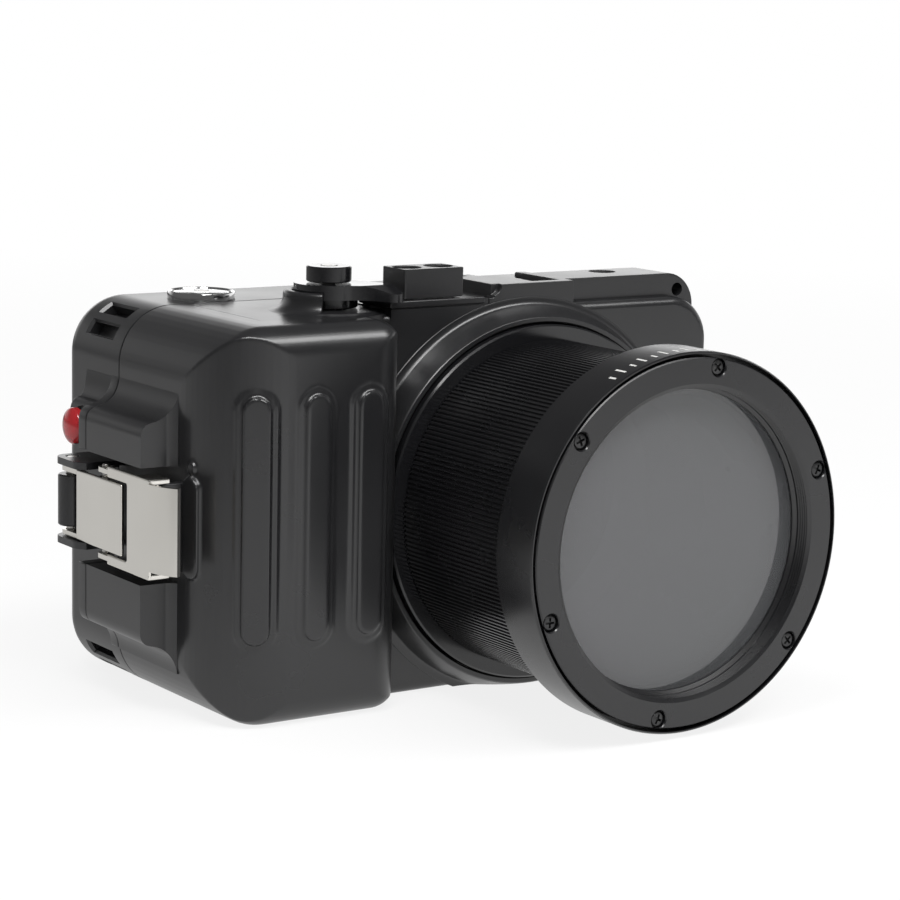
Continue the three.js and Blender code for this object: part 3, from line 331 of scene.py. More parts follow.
finishes = {
    "caseCoating": surfaceFinish("caseCoating", {
        "colour": (0.011, 0.011, 0.012), "second": (0.015, 0.015, 0.016), "patch": 38, "grain": 2600,
        "rough": (0.27, 0.32), "bump": 0.12, "depth": 0.03, "shine": 0.85}),
    "blackAnodised": surfaceFinish("blackAnodised", {
        "colour": (0.007, 0.007, 0.008), "second": (0.010, 0.010, 0.011), "patch": 45, "grain": 3400,
        "rough": (0.24, 0.31), "bump": 0.1, "depth": 0.02, "shine": 0.75}),
    "glossAnodised": surfaceFinish("glossAnodised", {
        "colour": (0.006, 0.006, 0.007), "second": (0.009, 0.009, 0.010), "patch": 60, "grain": 3000,
        "rough": (0.14, 0.22), "bump": 0.06, "depth": 0.02, "shine": 0.75}),
    "polishedSteel": surfaceFinish("polishedSteel", {
        "colour": (0.93, 0.905, 0.85), "second": (0.88, 0.855, 0.80), "patch": 30, "grain": 900,
        "stretch": (1, 1, 9), "rough": (0.16, 0.24), "bump": 0.05, "depth": 0.02, "metal": 1}),
    "turnedSteel": surfaceFinish("turnedSteel", {
        "colour": (0.56, 0.55, 0.52), "second": (0.47, 0.46, 0.44), "patch": 80, "grain": 1500,
        "stretch": (1, 1, 6), "rough": (0.2, 0.32), "bump": 0.1, "depth": 0.02, "metal": 1}),
    "darkScrew": surfaceFinish("darkScrew", {
        "colour": (0.05, 0.05, 0.052), "second": (0.08, 0.08, 0.08), "patch": 300, "grain": 2500,
        "rough": (0.25, 0.36), "bump": 0.1, "depth": 0.02, "metal": 0.8}),
    "brightRim": surfaceFinish("brightRim", {
        "colour": (0.86, 0.86, 0.86), "second": (0.78, 0.78, 0.78), "patch": 90, "grain": 2000,
        "rough": (0.08, 0.14), "bump": 0.04, "depth": 0.01, "metal": 1}),
    "brassInsert": surfaceFinish("brassInsert", {
        "colour": (0.60, 0.42, 0.16), "second": (0.50, 0.35, 0.13), "patch": 120, "grain": 1800,
        "stretch": (1, 1, 5), "rough": (0.24, 0.34), "bump": 0.1, "depth": 0.02, "metal": 1}),
    "blackRubber": surfaceFinish("blackRubber", {
        "colour": (0.012, 0.012, 0.012), "second": (0.018, 0.018, 0.018), "patch": 60, "grain": 1600,
        "rough": (0.6, 0.75), "bump": 0.25, "depth": 0.03}),
    "sealSilicone": surfaceFinish("sealSilicone", {
        "colour": (0.46, 0.10, 0.03), "second": (0.40, 0.08, 0.025), "patch": 50, "grain": 1400,
        "rough": (0.4, 0.55), "bump": 0.12, "depth": 0.03}),
    "redGloss": surfaceFinish("redGloss", {
        "colour": (0.40, 0.018, 0.022), "second": (0.33, 0.014, 0.018), "patch": 120, "grain": 2200,
        "rough": (0.16, 0.24), "bump": 0.04, "depth": 0.02, "coat": 0.5, "coatRough": 0.08}),
    "buttonPlastic": surfaceFinish("buttonPlastic", {
        "colour": (0.022, 0.022, 0.023), "second": (0.028, 0.028, 0.03), "patch": 90, "grain": 2600,
        "rough": (0.36, 0.46), "bump": 0.12, "depth": 0.03}),
    "tickPaint": surfaceFinish("tickPaint", {
        "colour": (0.72, 0.72, 0.70), "second": (0.62, 0.62, 0.60), "patch": 400, "grain": 2600,
        "rough": (0.45, 0.6), "bump": 0.1, "depth": 0.01}),
    "portGlass": surfaceFinish("portGlass", {
        "colour": (0.17, 0.17, 0.18), "second": (0.16, 0.165, 0.17), "patch": 20, "grain": 30,
        "rough": (0.0, 0.01), "bump": 0.0, "depth": 0.01, "clear": 0.55, "ior": 1.7}),
    "clearAcrylic": surfaceFinish("clearAcrylic", {
        "colour": (0.95, 0.96, 0.96), "second": (0.92, 0.94, 0.94), "patch": 40, "grain": 200,
        "rough": (0.02, 0.06), "bump": 0.02, "depth": 0.01, "clear": 1, "ior": 1.49}),
}
print("finishes made")


def dress(piece, finish, body, slotName, *nodes):
    piece.data.materials.clear()
    piece.data.materials.append(finishes[finish])
    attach(piece, body)
    if nodes:
        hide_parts(*nodes)
    return piece


# camera

camera = {
    "place": (-379.9, -556.4, 165.2), "turn": 34.40, "pitch": 9.74, "roll": 1.28,
    "lens": 112.8, "sensor": 36, "nearest": 0.01,
}


def makeCamera():
    turn, pitch, roll = (math.radians(camera[key]) for key in ("turn", "pitch", "roll"))
    right = Vector((math.cos(turn), -math.sin(turn), 0))
    ahead = Vector((math.sin(turn) * math.cos(pitch), math.cos(turn) * math.cos(pitch), -math.sin(pitch)))
    upward = right.cross(ahead)
    rolledRight = right * math.cos(roll) + upward * math.sin(roll)
    rolledUp = upward * math.cos(roll) - right * math.sin(roll)
    deselect()
    bpy.ops.object.camera_add()
    seen = bpy.context.object
    seen.name = "camera"
    facing = Matrix((rolledRight, rolledUp, -ahead)).transposed().to_4x4()
    seen.matrix_world = Matrix.Translation(Vector(camera["place"]) * mm) @ facing
    seen.data.lens = camera["lens"]
    seen.data.sensor_width = camera["sensor"]
    seen.data.clip_start = camera["nearest"]
    bpy.context.scene.camera = seen


makeCamera()
print("camera set")


# front half of the case

portAxis = (0, 0, 43.3)
frontCase = {
    "left": -87.2, "right": 54.5, "front": -31.35, "seam": 3.15, "top": 88.2,
    "gripCorner": 13, "hingeCorner": 11, "panelRound": 2, "slabLeft": -70, "skin": 0.02, "overrun": 2,
    "gripFront": -43.65, "gripEdge": -39.3, "gripRound": 6.2, "gripTurn": 18, "gripInner": 9,
    "gripTopInner": 6.6,
    "voxel": 0.36, "smoothRounds": 3, "keepShare": 0.36, "insert": (5.3, 5.2), "insertPlace": (0, -13.35, 0),
}
seamRound = 0.25
ribs = {
    "width": 6.2, "height": 1.2, "bottom": 19, "top": 73.4, "side": 0.95, "swell": 1.7, "swellSide": 0.25,
    "places": ((0, -50.2, 0.3), (0, -63.8, 0.3), (27.8, -69.2, 0.02)),
    "guard": {
        "angle": 76.5, "centre": -69.2, "width": 5, "bottom": 32.4, "top": 55, "side": 0.7,
        "nub": (2.4, 2.88, 0.84, 0.5), "between": 0.5,
    },
}


# a raised bar with sloping sides, turned round the grip's corner, on a wider low swelling
def addRib(name, angle, centreX, width, bottom, top, reach, side):
    turnY = frontCase["gripFront"] + frontCase["gripTurn"]
    front = frontCase["gripFront"] - reach
    outline = roundedRectangle(centreX - width / 2, centreX + width / 2, bottom, top, [width / 2] * 4, 10)
    bar = addExtruded(name, "XZ", outline, front, front + reach + 2.5)
    roundEdges(bar, lambda a, b: a.y < front + 0.01 and b.y < front + 0.01, side, 2 if side > 0.5 else 1)
    return turnAbout(bar, -angle, (centreX, turnY, 0), "Z")


def makeRibs():
    swell, guard = ribs["swell"], ribs["guard"]
    bars = []
    for angle, x, lift in ribs["places"]:
        width, bottom, top = ribs["width"], ribs["bottom"], ribs["top"]
        bars.append(addRib("rib", angle, x, width, bottom, top, ribs["height"], ribs["side"]))
        width, bottom, top = width + 2 * swell, bottom - swell, top + swell
        bars.append(addRib("swelling", angle, x, width, bottom, top, lift, ribs["swellSide"]))
    angle, x, width, side = guard["angle"], guard["centre"], guard["width"], guard["side"]
    bars.append(addRib("guard", angle, x, width, guard["bottom"], guard["top"], ribs["height"], side))
    width, length, height, side = guard["nub"]
    low = guard["top"] + guard["between"]
    bars.append(addRib("nub", angle, x, width, low, low + length, height, side))
    return bars


def makeGrip():
    s = frontCase
    low, high = s["skin"], s["top"] - s["skin"]
    corners = [s["gripCorner"], s["gripTopInner"], s["gripTopInner"], s["gripCorner"]]
    rear = s["seam"] + s["overrun"]
    outline = roundedRectangle(s["left"], s["gripEdge"], low, high, corners)
    body = addExtruded("grip", "XZ", outline, s["gripFront"], rear)
    roundEdges(body, lambda a, b: max(a.y, b.y) < s["gripFront"] + 0.01, s["gripRound"], 10)
    plan = addExtruded("gripPlan", "XY", roundedRectangle(
        s["left"], s["gripEdge"], s["gripFront"], rear, [s["gripTurn"], s["gripInner"], 0, 0], 16), -5, 95)
    combine(body, [plan], "INTERSECT")
    bars = makeRibs()
    return joinAll([body, *bars], "gripForm")


shoulder = {
    "reach": 8.3, "front": -22.45, "rear": 7.15, "sweep": 6.6, "recordReach": 4.2, "recordRear": 19.65,
    "upper": (56.4, 66.3), "lower": (30.4, 16.5), "inside": 6,
}


# square towards the latch, swept into the wall on the other side
def shoulderOutline(near, far, reach):
    wall = frontCase["left"]
    side = math.copysign(shoulder["sweep"], far - near)
    sign = math.copysign(1, far - near)
    outline = [(wall + shoulder["inside"], near), (wall - reach, near)]
    face = wall - reach
    outline += bowPoints((face, far - 3.4 * sign), (face, far - 0.6 * sign), (face + 2.4, far - 0.1 * sign), 6)
    foot = (wall + 0.04, far + side)
    outline += bowPoints((face + 2.6, far - 0.06 * sign), (wall - 0.3, far + 0.9 * sign), foot, 12)
    return outline + [(wall + shoulder["inside"], far + side)]


def addShoulder(name, near, far, front, rear):
    return addExtruded(name, "XZ", shoulderOutline(near, far, shoulder["reach"]), front, rear)


def makeFrontShoulders():
    wall, reach = frontCase["left"], shoulder["reach"]
    front, rear = shoulder["front"], frontCase["seam"]
    forms = []
    for name in ("upper", "lower"):
        near, far = shoulder[name]
        form = addShoulder(name + "Shoulder", near, far, front - 8, rear)
        plan = [(wall - reach - 2, front)]
        plan += bowPoints((wall - 2.3, front - 0.45), (wall - 1.1, front - 0.6), (wall + 0.05, front - 1.8), 6)
        plan += [(wall + 8, front - 1.8), (wall + 8, rear + 1), (wall - reach - 2, rear + 1)]
        combine(form, [addExtruded("plan", "XY", plan, 0, 90)], "INTERSECT")
        soften(form, 0.35, 2)
        forms.append(form)
    return forms


bay = {"left": -82.2, "right": 49.5, "bottom": 6.5, "top": 84.2, "corner": 8, "front": -27.35}
hollow = {"right": -44.3, "bottom": 11.5, "top": 79.2, "front": -38.65, "turn": 13}


# the camera bay, from one depth to another
def addBayCutter(front, rear):
    outline = roundedRectangle(bay["left"], bay["right"], bay["bottom"], bay["top"], [bay["corner"]] * 4, 8)
    return addExtruded("bay", "XZ", outline, front, rear)


def addGripHollow():
    s, corner = hollow, bay["corner"]
    outline = roundedRectangle(bay["left"], s["right"], s["bottom"], s["top"], [corner] * 4, 8)
    form = addExtruded("gripHollow", "XZ", outline, s["front"], 20)
    plan = roundedRectangle(bay["left"], s["right"], s["front"], 20, [s["turn"], corner, 0, 0], 8)
    return combine(form, [addExtruded("hollowPlan", "XY", plan, 0, 90)], "INTERSECT")


portCuts = {"front": -60, "scoop": (41.7, -33.55), "throat": (34.3, -20)}


def addPortCutter(name, radius, front, rear, steps=128):
    return addTurned(name, [(0, front), (radius, front), (radius, rear), (0, rear)], portAxis, "Y", steps)


def addCaseCut(name):
    radius, rear = portCuts[name]
    return addPortCutter(name, radius, portCuts["front"], rear)


def makeGripPiece():
    form = makeGrip()
    applyModifier(form, "REMESH", mode="VOXEL", voxel_size=frontCase["voxel"] * mm, adaptivity=0)
    applyModifier(form, "SMOOTH", factor=0.5, iterations=frontCase["smoothRounds"])
    applyModifier(form, "DECIMATE", decimate_type="COLLAPSE", ratio=frontCase["keepShare"])
    flat = addBox("seamCut", (-110, frontCase["seam"], -10), (0, 20, 110))
    cutters = [flat, addBayCutter(bay["front"], 40), addGripHollow(), addCaseCut("scoop"), addShaftHole()]
    return combine(form, cutters, "DIFFERENCE")


def addShaftHole():
    radius, low, high = boss["shaft"]
    profile = [(0, low), (radius, low), (radius, high), (0, high)]
    return addTurned("shaftHole", profile, (*boss["place"], 0), "Z", 32)


def makeSlab():
    s = frontCase
    corners = [0, s["hingeCorner"], s["hingeCorner"], 0]
    outline = roundedRectangle(s["slabLeft"], s["right"], 0, s["top"], corners, 16)
    slab = addExtruded("slab", "XZ", outline, s["front"], s["seam"])
    edge = s["slabLeft"] + 1
    front, seam = s["front"] + 0.01, s["seam"] - 0.01
    roundEdges(slab, lambda a, b: max(a.y, b.y) < front and max(a.x, b.x) > edge, s["panelRound"], 5)
    roundEdges(slab, lambda a, b: min(a.y, b.y) > seam and max(a.x, b.x) > edge, seamRound, 2)
    combine(slab, [addBayCutter(bay["front"], 40), addCaseCut("scoop"), addCaseCut("throat")], "DIFFERENCE")
    radius, depth = s["insert"]
    profile = [(0, -5), (radius, -5), (radius, depth), (0, depth)]
    insertHole = addTurned("insertHole", profile, s["insertPlace"], "Z", 48)
    return combine(slab, [insertHole, addShaftHole()], "DIFFERENCE")


collarGuard = {
    "bore": 41.7, "rim": 43.2, "shoulder": 45, "foot": 46.6, "front": -37.65, "step": -32.6, "panel": -31.35,
    "cutTop": 90.8,
}


def makeCollarGuard():
    g = collarGuard
    front, panel, foot = g["front"], g["panel"], g["foot"]
    profile = [(g["bore"], panel + 2), (g["bore"], front + 0.3), (g["bore"] + 0.3, front)]
    profile += [(g["rim"] - 0.3, front), (g["rim"], front + 0.25)]
    bend = g["shoulder"]
    profile += bowPoints((bend, g["step"]), (bend + 0.3, panel - 0.35), (foot, panel - 0.25), 7)
    profile += [(foot + 0.3, panel - 0.25), (foot + 0.4, panel - 0.15), (foot + 0.4, panel + 2)]
    guard = addTurned("collarGuard", profile, portAxis, "Y", 160)
    return combine(guard, [addBox("inside", (-60, -50, 0.01), (60, 0, g["cutTop"]))], "INTERSECT")


topPlatform = {
    "top": 93.5, "rear": -13.65, "humpLeft": -9, "humpRight": 13.7, "humpFront": -31.35,
    "wingFront": -27.65, "wingRight": 52.3, "wingCorner": 8,
    "ledge": (-37.6, -31.35, -18.35, 90.9), "fillTop": 89.1, "notch": (-11.8, -10.4, 2.6),
    "shoe": 4.8, "gap": 13, "slot": 18.6, "floor": 89.8, "lipUnder": 92, "stop": -28.5,
    "plug": (31.8, -18.15, 2.9, 89.5), "eyelet": (47.4, 89.5, 1.6),
}


def makePlatform():
    p = topPlatform
    left, right, front, rear, top = p["humpLeft"], p["humpRight"], p["humpFront"], p["rear"], p["top"]
    hump = addExtruded("hump", "XZ", [(left, 80), (right, 80), (right, top), (left, top)], front, rear)
    plateEnd, footLeft, radius = p["notch"]
    profile = [(0, -50), (radius, -50), (radius, front + 1.6), (0, front + 1.6)]
    notch = addTurned("humpNotch", profile, (left - 0.6, 0, top), "Y", 32)
    foot = addBox("humpFoot", (footLeft, front, 80), (left + 3, front + 3, top - 3))
    combine(hump, [foot], "UNION")
    combine(hump, [notch], "DIFFERENCE")
    outline = roundedRectangle(0, p["wingRight"], 60, top, [0, 0, p["wingCorner"], 0], 12)
    combine(hump, [addExtruded("wing", "XZ", outline, p["wingFront"], rear)], "UNION")
    shoe = p["shoe"]
    cutters = []
    for name, high in (("gap", 120), ("slot", p["lipUnder"])):
        half = p[name] / 2
        cutters.append(addBox(name, (shoe - half, p["stop"], p["floor"]), (shoe + half, 20, high)))
    combine(hump, cutters, "DIFFERENCE")
    soften(hump, 0.45, 3)
    plugX, plugY, radius, floor = p["plug"]
    mouth = radius + 0.5
    profile = [(0, floor), (radius, floor), (radius, top - 0.5), (mouth, top), (mouth, 99), (0, 99)]
    plug = addTurned("plug", profile, (plugX, plugY, 0), "Z", 48)
    eyeletX, eyeletZ, radius = p["eyelet"]
    eyelet = addTurned("eyelet", [(0, -40), (radius, -40), (radius, 5), (0, 5)], (eyeletX, 0, eyeletZ), "Y", 32)
    combine(hump, [plug, eyelet], "DIFFERENCE")
    ledgeLeft, ledgeFront, ledgeRear, ledgeTop = p["ledge"]
    fillTop = p["fillTop"]
    fill = addBox("panelFill", (ledgeLeft + 0.4, ledgeFront - 0.01, 80), (0, ledgeRear + 4, fillTop))
    plate = addBox("ledge", (ledgeLeft, ledgeFront - 0.35, fillTop + 0.25), (plateEnd, ledgeRear, ledgeTop))
    soften(plate, 0.3, 3)
    near = (ledgeLeft + 0.8, ledgeFront + 0.3, fillTop - 1)
    far = (left + 1, ledgeRear - 0.5, ledgeTop - 0.4)
    neck = addBox("ledgeNeck", near, far)
    rails = []
    for x in (shoe - p["gap"] / 2 - 3.02, shoe + p["gap"] / 2 + 0.02):
        rail = addBox("rail", (x, rear - 2, p["lipUnder"]), (x + 3, rear + 3.2, top - 0.02))
        rails.append(soften(rail, 0.4, 2))
    return [hump, fill, plate, neck, *rails]


boss = {
    "place": (-46.5, -19.75), "radius": 10.3, "foot": 13.6, "top": 92.9, "wall": 1.9, "floor": 88.8,
    "openFrom": -130, "openTo": 38, "shaft": (3.4, 80, 93),
}


def makeBoss():
    b = boss
    x, y = b["place"]
    inner = b["radius"] - b["wall"]
    profile = [(0, 84), (b["foot"], 84), (b["foot"], 88.15)]
    profile += bowPoints((b["foot"], 88.2), (b["radius"] + 0.3, 88.5), (b["radius"], 91.4), 10)
    profile += bowPoints((b["radius"], b["top"] - 1), (b["radius"], b["top"]), (b["radius"] - 1, b["top"]), 5)
    profile += [(inner + 0.3, b["top"]), (inner, b["top"] - 0.3), (inner, b["floor"]), (0, b["floor"])]
    form = addTurned("boss", profile, (x, y, 0), "Z", 96)
    wedge = [(x, y)] + arcPoints(x, y, 30, b["openFrom"], b["openTo"], 12)
    opening = addExtruded("opening", "XY", wedge, b["floor"], 110)
    return combine(form, [opening, addShaftHole()], "DIFFERENCE")


hinge = {
    "place": (57.9, 3.35), "bore": 1.6, "radius": 2.6, "root": 52,
    "low": (12, 26), "middle": (26.3, 61.7), "high": (62, 76), "pin": (1.4, 11.6, 76.4),
}


# a round eye with its web, towards the front (-1) or the back (1)
def makeKnuckle(which, side):
    bottom, top = hinge[which]
    x, y = hinge["place"]
    bore, radius = hinge["bore"], hinge["radius"]
    profile = [(bore, bottom), (radius, bottom), (radius, top), (bore, top)]
    eye = addTurned(which + "Knuckle", profile, (x, y, 0), "Z", 40)
    soften(eye, 0.2, 2)
    near, far = sorted((y + side * 0.2, y + side * 2.5))
    web = addBox(which + "Web", (hinge["root"], near, bottom), (x, far, top))
    profile = [(0, bottom - 2), (bore, bottom - 2), (bore, top + 2), (0, top + 2)]
    hole = addTurned("bore", profile, (x, y, 0), "Z", 40)
    combine(web, [hole], "DIFFERENCE")
    return [eye, web]


latchCatch = ((-93, -27.75, 33.5), (-85, -25.55, 53.5))


def makeFrontShell():
    catch = addBox("catch", *latchCatch)
    soften(catch, 0.4, 3)
    forms = [makeSlab(), makeGripPiece(), *makeFrontShoulders(), makeCollarGuard()]
    forms += [*makePlatform(), makeBoss(), catch, *makeKnuckle("low", -1), *makeKnuckle("high", -1)]
    shell = joinAll(forms, "caseFront")
    shade(shell, 32)
    dress(shell, "caseCoating", "case", "case_black", "front_shell")


makeFrontShell()
print("front case made")


# back half of the case

backCase = {
    "left": -87.2, "right": 54.5, "seam": 3.55, "back": 31.35, "top": 88.2,
    "gripCorner": 13, "hingeCorner": 11, "round": 6,
    "slots": {"length": 12.4, "width": 3, "depth": 3.1, "from": 8.8, "angles": (122.5, 148.5)},
    "window": (-40, 41, 16, 72, 4), "ledge": 3.4, "ledgeDepth": 27.55, "bayRear": 25.35,
    "dialHole": (-61.5, 11.85, 1.8), "sealGroove": (1.4, 3.6, 5.15),
}
backButtons = {
    "menu_button": (-52.5, 67), "playback_button": (-55.3, 17.5), "delete_button": (-73.7, 17.5),
    "ok_button": (-64.5, 41), "up_button": (-64.5, 51.4), "down_button": (-64.5, 30.6),
    "left_button": (-54.1, 41), "right_button": (-74.9, 41),
}
recordButton = {
    "place": (0, 13.75, 60.3), "under": 92.2, "radius": 4.2, "head": 1.2, "dome": 1.8, "stem": (2, 79.6),
    "sink": (4.5, 90.45),
}
latchPin = {
    "x": -94.6, "y": 11.75, "radius": 1.4, "bottom": 33.8, "top": 53.7, "ear": 3.4, "ears": (34, 52.2),
    "earThickness": 1.6, "earFront": 10, "bore": 1.6, "roll": (3.3, 38, 49.8),
}


# a slot cutter with sloping sides, lying square to the corner at one angle
def addSlotCutter(angle, centreZ):
    s, slot = backCase, backCase["slots"]
    radius = s["gripCorner"]
    half = slot["width"] / 2
    front, rear = slot["from"], slot["from"] + slot["length"]
    form = addBox("slot", (radius - slot["depth"], front, -half), (radius + 0.01, rear, half))
    roundEdges(form, lambda a, b: abs(a.y - b.y) < 0.01 and abs(a.z - b.z) < 0.01, 0.7, 4)
    mouth = addBox("mouth", (radius - 0.75, front - 0.1, -half - 0.1), (radius + 2, rear + 0.1, half + 0.1))
    middle = Vector((radius, (front + rear) / 2, 0))
    editPart(mouth, "VERT", lambda v: v.x > radius)
    bpy.ops.transform.resize(value=(1, 1.3, 2.2), center_override=middle * mm)
    leaveEdit()
    combine(form, [mouth], "UNION")
    turnAbout(form, -angle, (0, 0, 0), "Y")
    form.location = Vector((s["left"] + radius, 0, centreZ)) * mm
    return settle(form, "slot")


def makeCoverSlab():
    s = backCase
    grip, hinged = s["gripCorner"], s["hingeCorner"]
    corners = [grip, hinged, hinged, grip]
    outline = roundedRectangle(s["left"], s["right"], 0, s["top"], corners, 18)
    slab = addExtruded("cover", "XZ", outline, s["seam"], s["back"])
    roundEdges(slab, lambda a, b: min(a.y, b.y) > s["back"] - 0.01, s["round"], 10)
    roundEdges(slab, lambda a, b: max(a.y, b.y) < s["seam"] + 0.01, seamRound, 2)
    combine(slab, [addBayCutter(-40, s["bayRear"])], "DIFFERENCE")
    left, right, bottom, top, corner = s["window"]
    ledge = s["ledge"]
    opening = roundedRectangle(left, right, bottom, top, [corner] * 4, 8)
    seat = roundedRectangle(left - ledge, right + ledge, bottom - ledge, top + ledge, [corner + ledge] * 4, 8)
    cutters = [addExtruded("opening", "XZ", opening, 10, 60)]
    cutters.append(addExtruded("seat", "XZ", seat, s["ledgeDepth"], 60))
    recess = [(0, 20), (1.7, 20), (1.7, 27.35), (4, 27.35), (4, 31.05), (4.3, 31.36), (4.3, 40), (0, 40)]
    recesses = [addTurned("recess", recess, (x, 0, z), "Y", 40) for x, z in backButtons.values()]
    cutters.append(joinAll(recesses, "recesses"))
    slots = [addSlotCutter(angle, s["top"] - s["gripCorner"]) for angle in s["slots"]["angles"]]
    slots += [addSlotCutter(-angle, s["gripCorner"]) for angle in s["slots"]["angles"]]
    cutters.append(joinAll(slots, "slots"))
    x, y, radius = s["dialHole"]
    cutters.append(addTurned("dialHole", [(0, 80), (radius, 80), (radius, 99), (0, 99)], (x, y, 0), "Z", 24))
    rings = []
    for margin in s["sealGroove"][:2]:
        rounds = [corner - margin for corner in corners]
        low, high = s["left"] + margin, s["right"] - margin
        rings.append(roundedRectangle(low, high, margin, s["top"] - margin, rounds, 10))
    groove = addExtruded("groove", "XZ", rings[0], 3, s["sealGroove"][2])
    combine(groove, [addExtruded("grooveCore", "XZ", rings[1], 2, 7)], "DIFFERENCE")
    cutters.append(groove)
    return combine(slab, cutters, "DIFFERENCE")


def makeCoverShoulders():
    forms = []
    for name in ("upper", "lower"):
        near, far = shoulder[name]
        form = addShoulder(name + "CoverShoulder", near, far, backCase["seam"], shoulder["rear"])
        forms.append(soften(form, 0.35, 2))
    near, far = shoulder["upper"]
    outline = shoulderOutline(near, far, shoulder["recordReach"])
    zone = addExtruded("recordZone", "XZ", outline, backCase["seam"], shoulder["recordRear"])
    soften(zone, 0.5, 3)
    r = recordButton
    sink, floor = r["sink"]
    profile = [(0, 70), (2.2, 70), (2.2, 87.4), (3.5, 87.4), (3.5, floor), (sink, floor), (sink, 120), (0, 120)]
    hole = addTurned("recordHole", profile, r["place"], "-X", 48)
    spare = copyPiece(hole, "recordHoleTwin")
    combine(zone, [hole], "DIFFERENCE")
    return [*forms, zone], spare


def addBore(radius, x, y):
    return addTurned("bore", [(0, 20), (radius, 20), (radius, 70), (0, 70)], (x, y, 0), "Z", 32)


def makeLatchEars():
    p = latchPin
    x, y = p["x"], p["y"]
    outline = [(-85, y - p["earFront"]), (x - p["bore"], y - p["earFront"])]
    outline += arcPoints(x, y - p["earFront"] + 3.4, 3.4, 240, 180, 4)[1:]
    outline += arcPoints(x, y, p["ear"], 180, 90, 8) + [(-85, y + p["ear"])]
    ears = []
    for low in p["ears"]:
        ear = addExtruded("ear", "XY", outline, low, low + p["earThickness"])
        bore = addBore(p["bore"], x, y)
        front = addBox("earFront", (-88, -10, 20), (-80, backCase["seam"], 70))
        ears.append(soften(combine(ear, [bore, front], "DIFFERENCE"), 0.3, 3))
    return ears


def makeBackCover():
    slab = makeCoverSlab()
    forms, hole = makeCoverShoulders()
    combine(heal(slab), [hole], "DIFFERENCE")
    cover = joinAll([slab, *forms, *makeLatchEars(), *makeKnuckle("middle", 1)], "caseBack")
    shade(cover, 32)
    dress(cover, "caseCoating", "cover", "case_black", "back_cover")


makeBackCover()
print("back cover made")


# port

barrel = {
    "front": -80.55, "rear": -39.55, "radius": 38, "groove": 0.42, "core": 37, "bore": 31.5,
    "frontSpigot": (32.9, -82.25), "rearSpigot": (34.3, -36.55), "ribCount": 220,
}
frontRing = {
    "front": -93.6, "rear": -80.85, "radius": 42, "lip": 41.5, "web": 33.2, "webFront": -82.55, "seat": 36.9,
    "glassFront": -88.35,
}
retainingPlate = {
    "front": -93.62, "rear": -88.65, "radius": 40.7, "mouth": 34.1, "lip": 33.3,
    "threadPitch": 0.75, "threadDepth": 0.5, "screwCircle": 38.7, "screwCount": 6, "firstScrew": 20.2,
}


def makeBarrel():
    b = barrel
    turn = 360 / b["ribCount"]
    high, low = b["radius"], b["radius"] - b["groove"]
    outline = []
    for rib in range(b["ribCount"]):
        for radius, share in ((high, 0.18), (high, 0.52), (low, 0.68), (low, 0.96)):
            angle = math.radians((rib + share) * turn)
            outline.append((radius * math.cos(angle), portAxis[2] + radius * math.sin(angle)))
    knurl = addExtruded("barrelKnurl", "XZ", outline, b["front"], b["rear"])
    bore = addPortCutter("bore", b["core"], b["front"] - 5, b["rear"] + 5, 160)
    combine(knurl, [bore], "DIFFERENCE")
    frontRadius, frontEnd = b["frontSpigot"]
    rearRadius, rearEnd = b["rearSpigot"]
    outer = b["core"] + 0.02
    profile = [(b["bore"], rearEnd), (b["bore"], frontEnd), (frontRadius, frontEnd), (frontRadius, b["front"])]
    profile += [(outer, b["front"]), (outer, b["rear"]), (rearRadius, b["rear"]), (rearRadius, rearEnd)]
    core = addTurned("barrelCore", profile, portAxis, "Y", 128)
    piece = joinAll([core, knurl], "portBarrel")
    shade(piece, 25)
    dress(piece, "blackAnodised", "case", "black_anodised", "port_barrel")


# its rear neck has a groove round it for the lock ring
baseRing = {
    "bore": 31.5, "front": -39.25, "rear": -23.95, "seat": (34.6, -36.25), "flange": (41.4, -33.85),
    "edge": 0.4, "neck": 34, "groove": (32.8, -32.25, -29.85),
}


def makeBaseRing():
    r = baseRing
    seat, seatEnd = r["seat"]
    flange, flangeEnd = r["flange"]
    groove, grooveFront, grooveRear = r["groove"]
    profile = [(r["bore"], r["rear"]), (r["bore"], seatEnd), (seat, seatEnd), (seat, r["front"])]
    profile += [(flange - r["edge"], r["front"]), (flange, r["front"] + r["edge"])]
    profile += [(flange, flangeEnd - 0.35), (flange - 0.35, flangeEnd)]
    profile += [(r["neck"], flangeEnd), (r["neck"], grooveFront), (groove, grooveFront), (groove, grooveRear)]
    profile += [(r["neck"], grooveRear), (r["neck"], r["rear"])]
    ring = addTurned("baseRing", profile, portAxis, "Y", 160)
    shade(ring, 30)
    dress(ring, "glossAnodised", "case", "black_anodised", "port_base_ring")


def makeFrontRing():
    r = frontRing
    radius, front, rear = r["radius"], r["front"], r["rear"]
    lip, web, seat = r["lip"], r["web"], r["seat"]
    profile = [(lip, front), (radius - 0.25, front), (radius, front + 0.45), (radius, rear - 0.25)]
    profile += [(radius - 0.2, rear), (web, rear), (web, r["webFront"]), (seat, r["webFront"])]
    profile += [(seat, r["glassFront"]), (lip, r["glassFront"])]
    ring = addTurned("frontRing", profile, portAxis, "Y", 192)
    shade(ring, 30)
    dress(ring, "blackAnodised", "case", "black_anodised", "port_front_ring")


# plain index marks on top of the ring
indexTicks = {
    "from": 82, "step": 4, "count": 10, "width": 0.55, "front": -91.4, "lengths": (3.4, 2.1),
    "sunk": 0.4, "raised": 0.03,
}


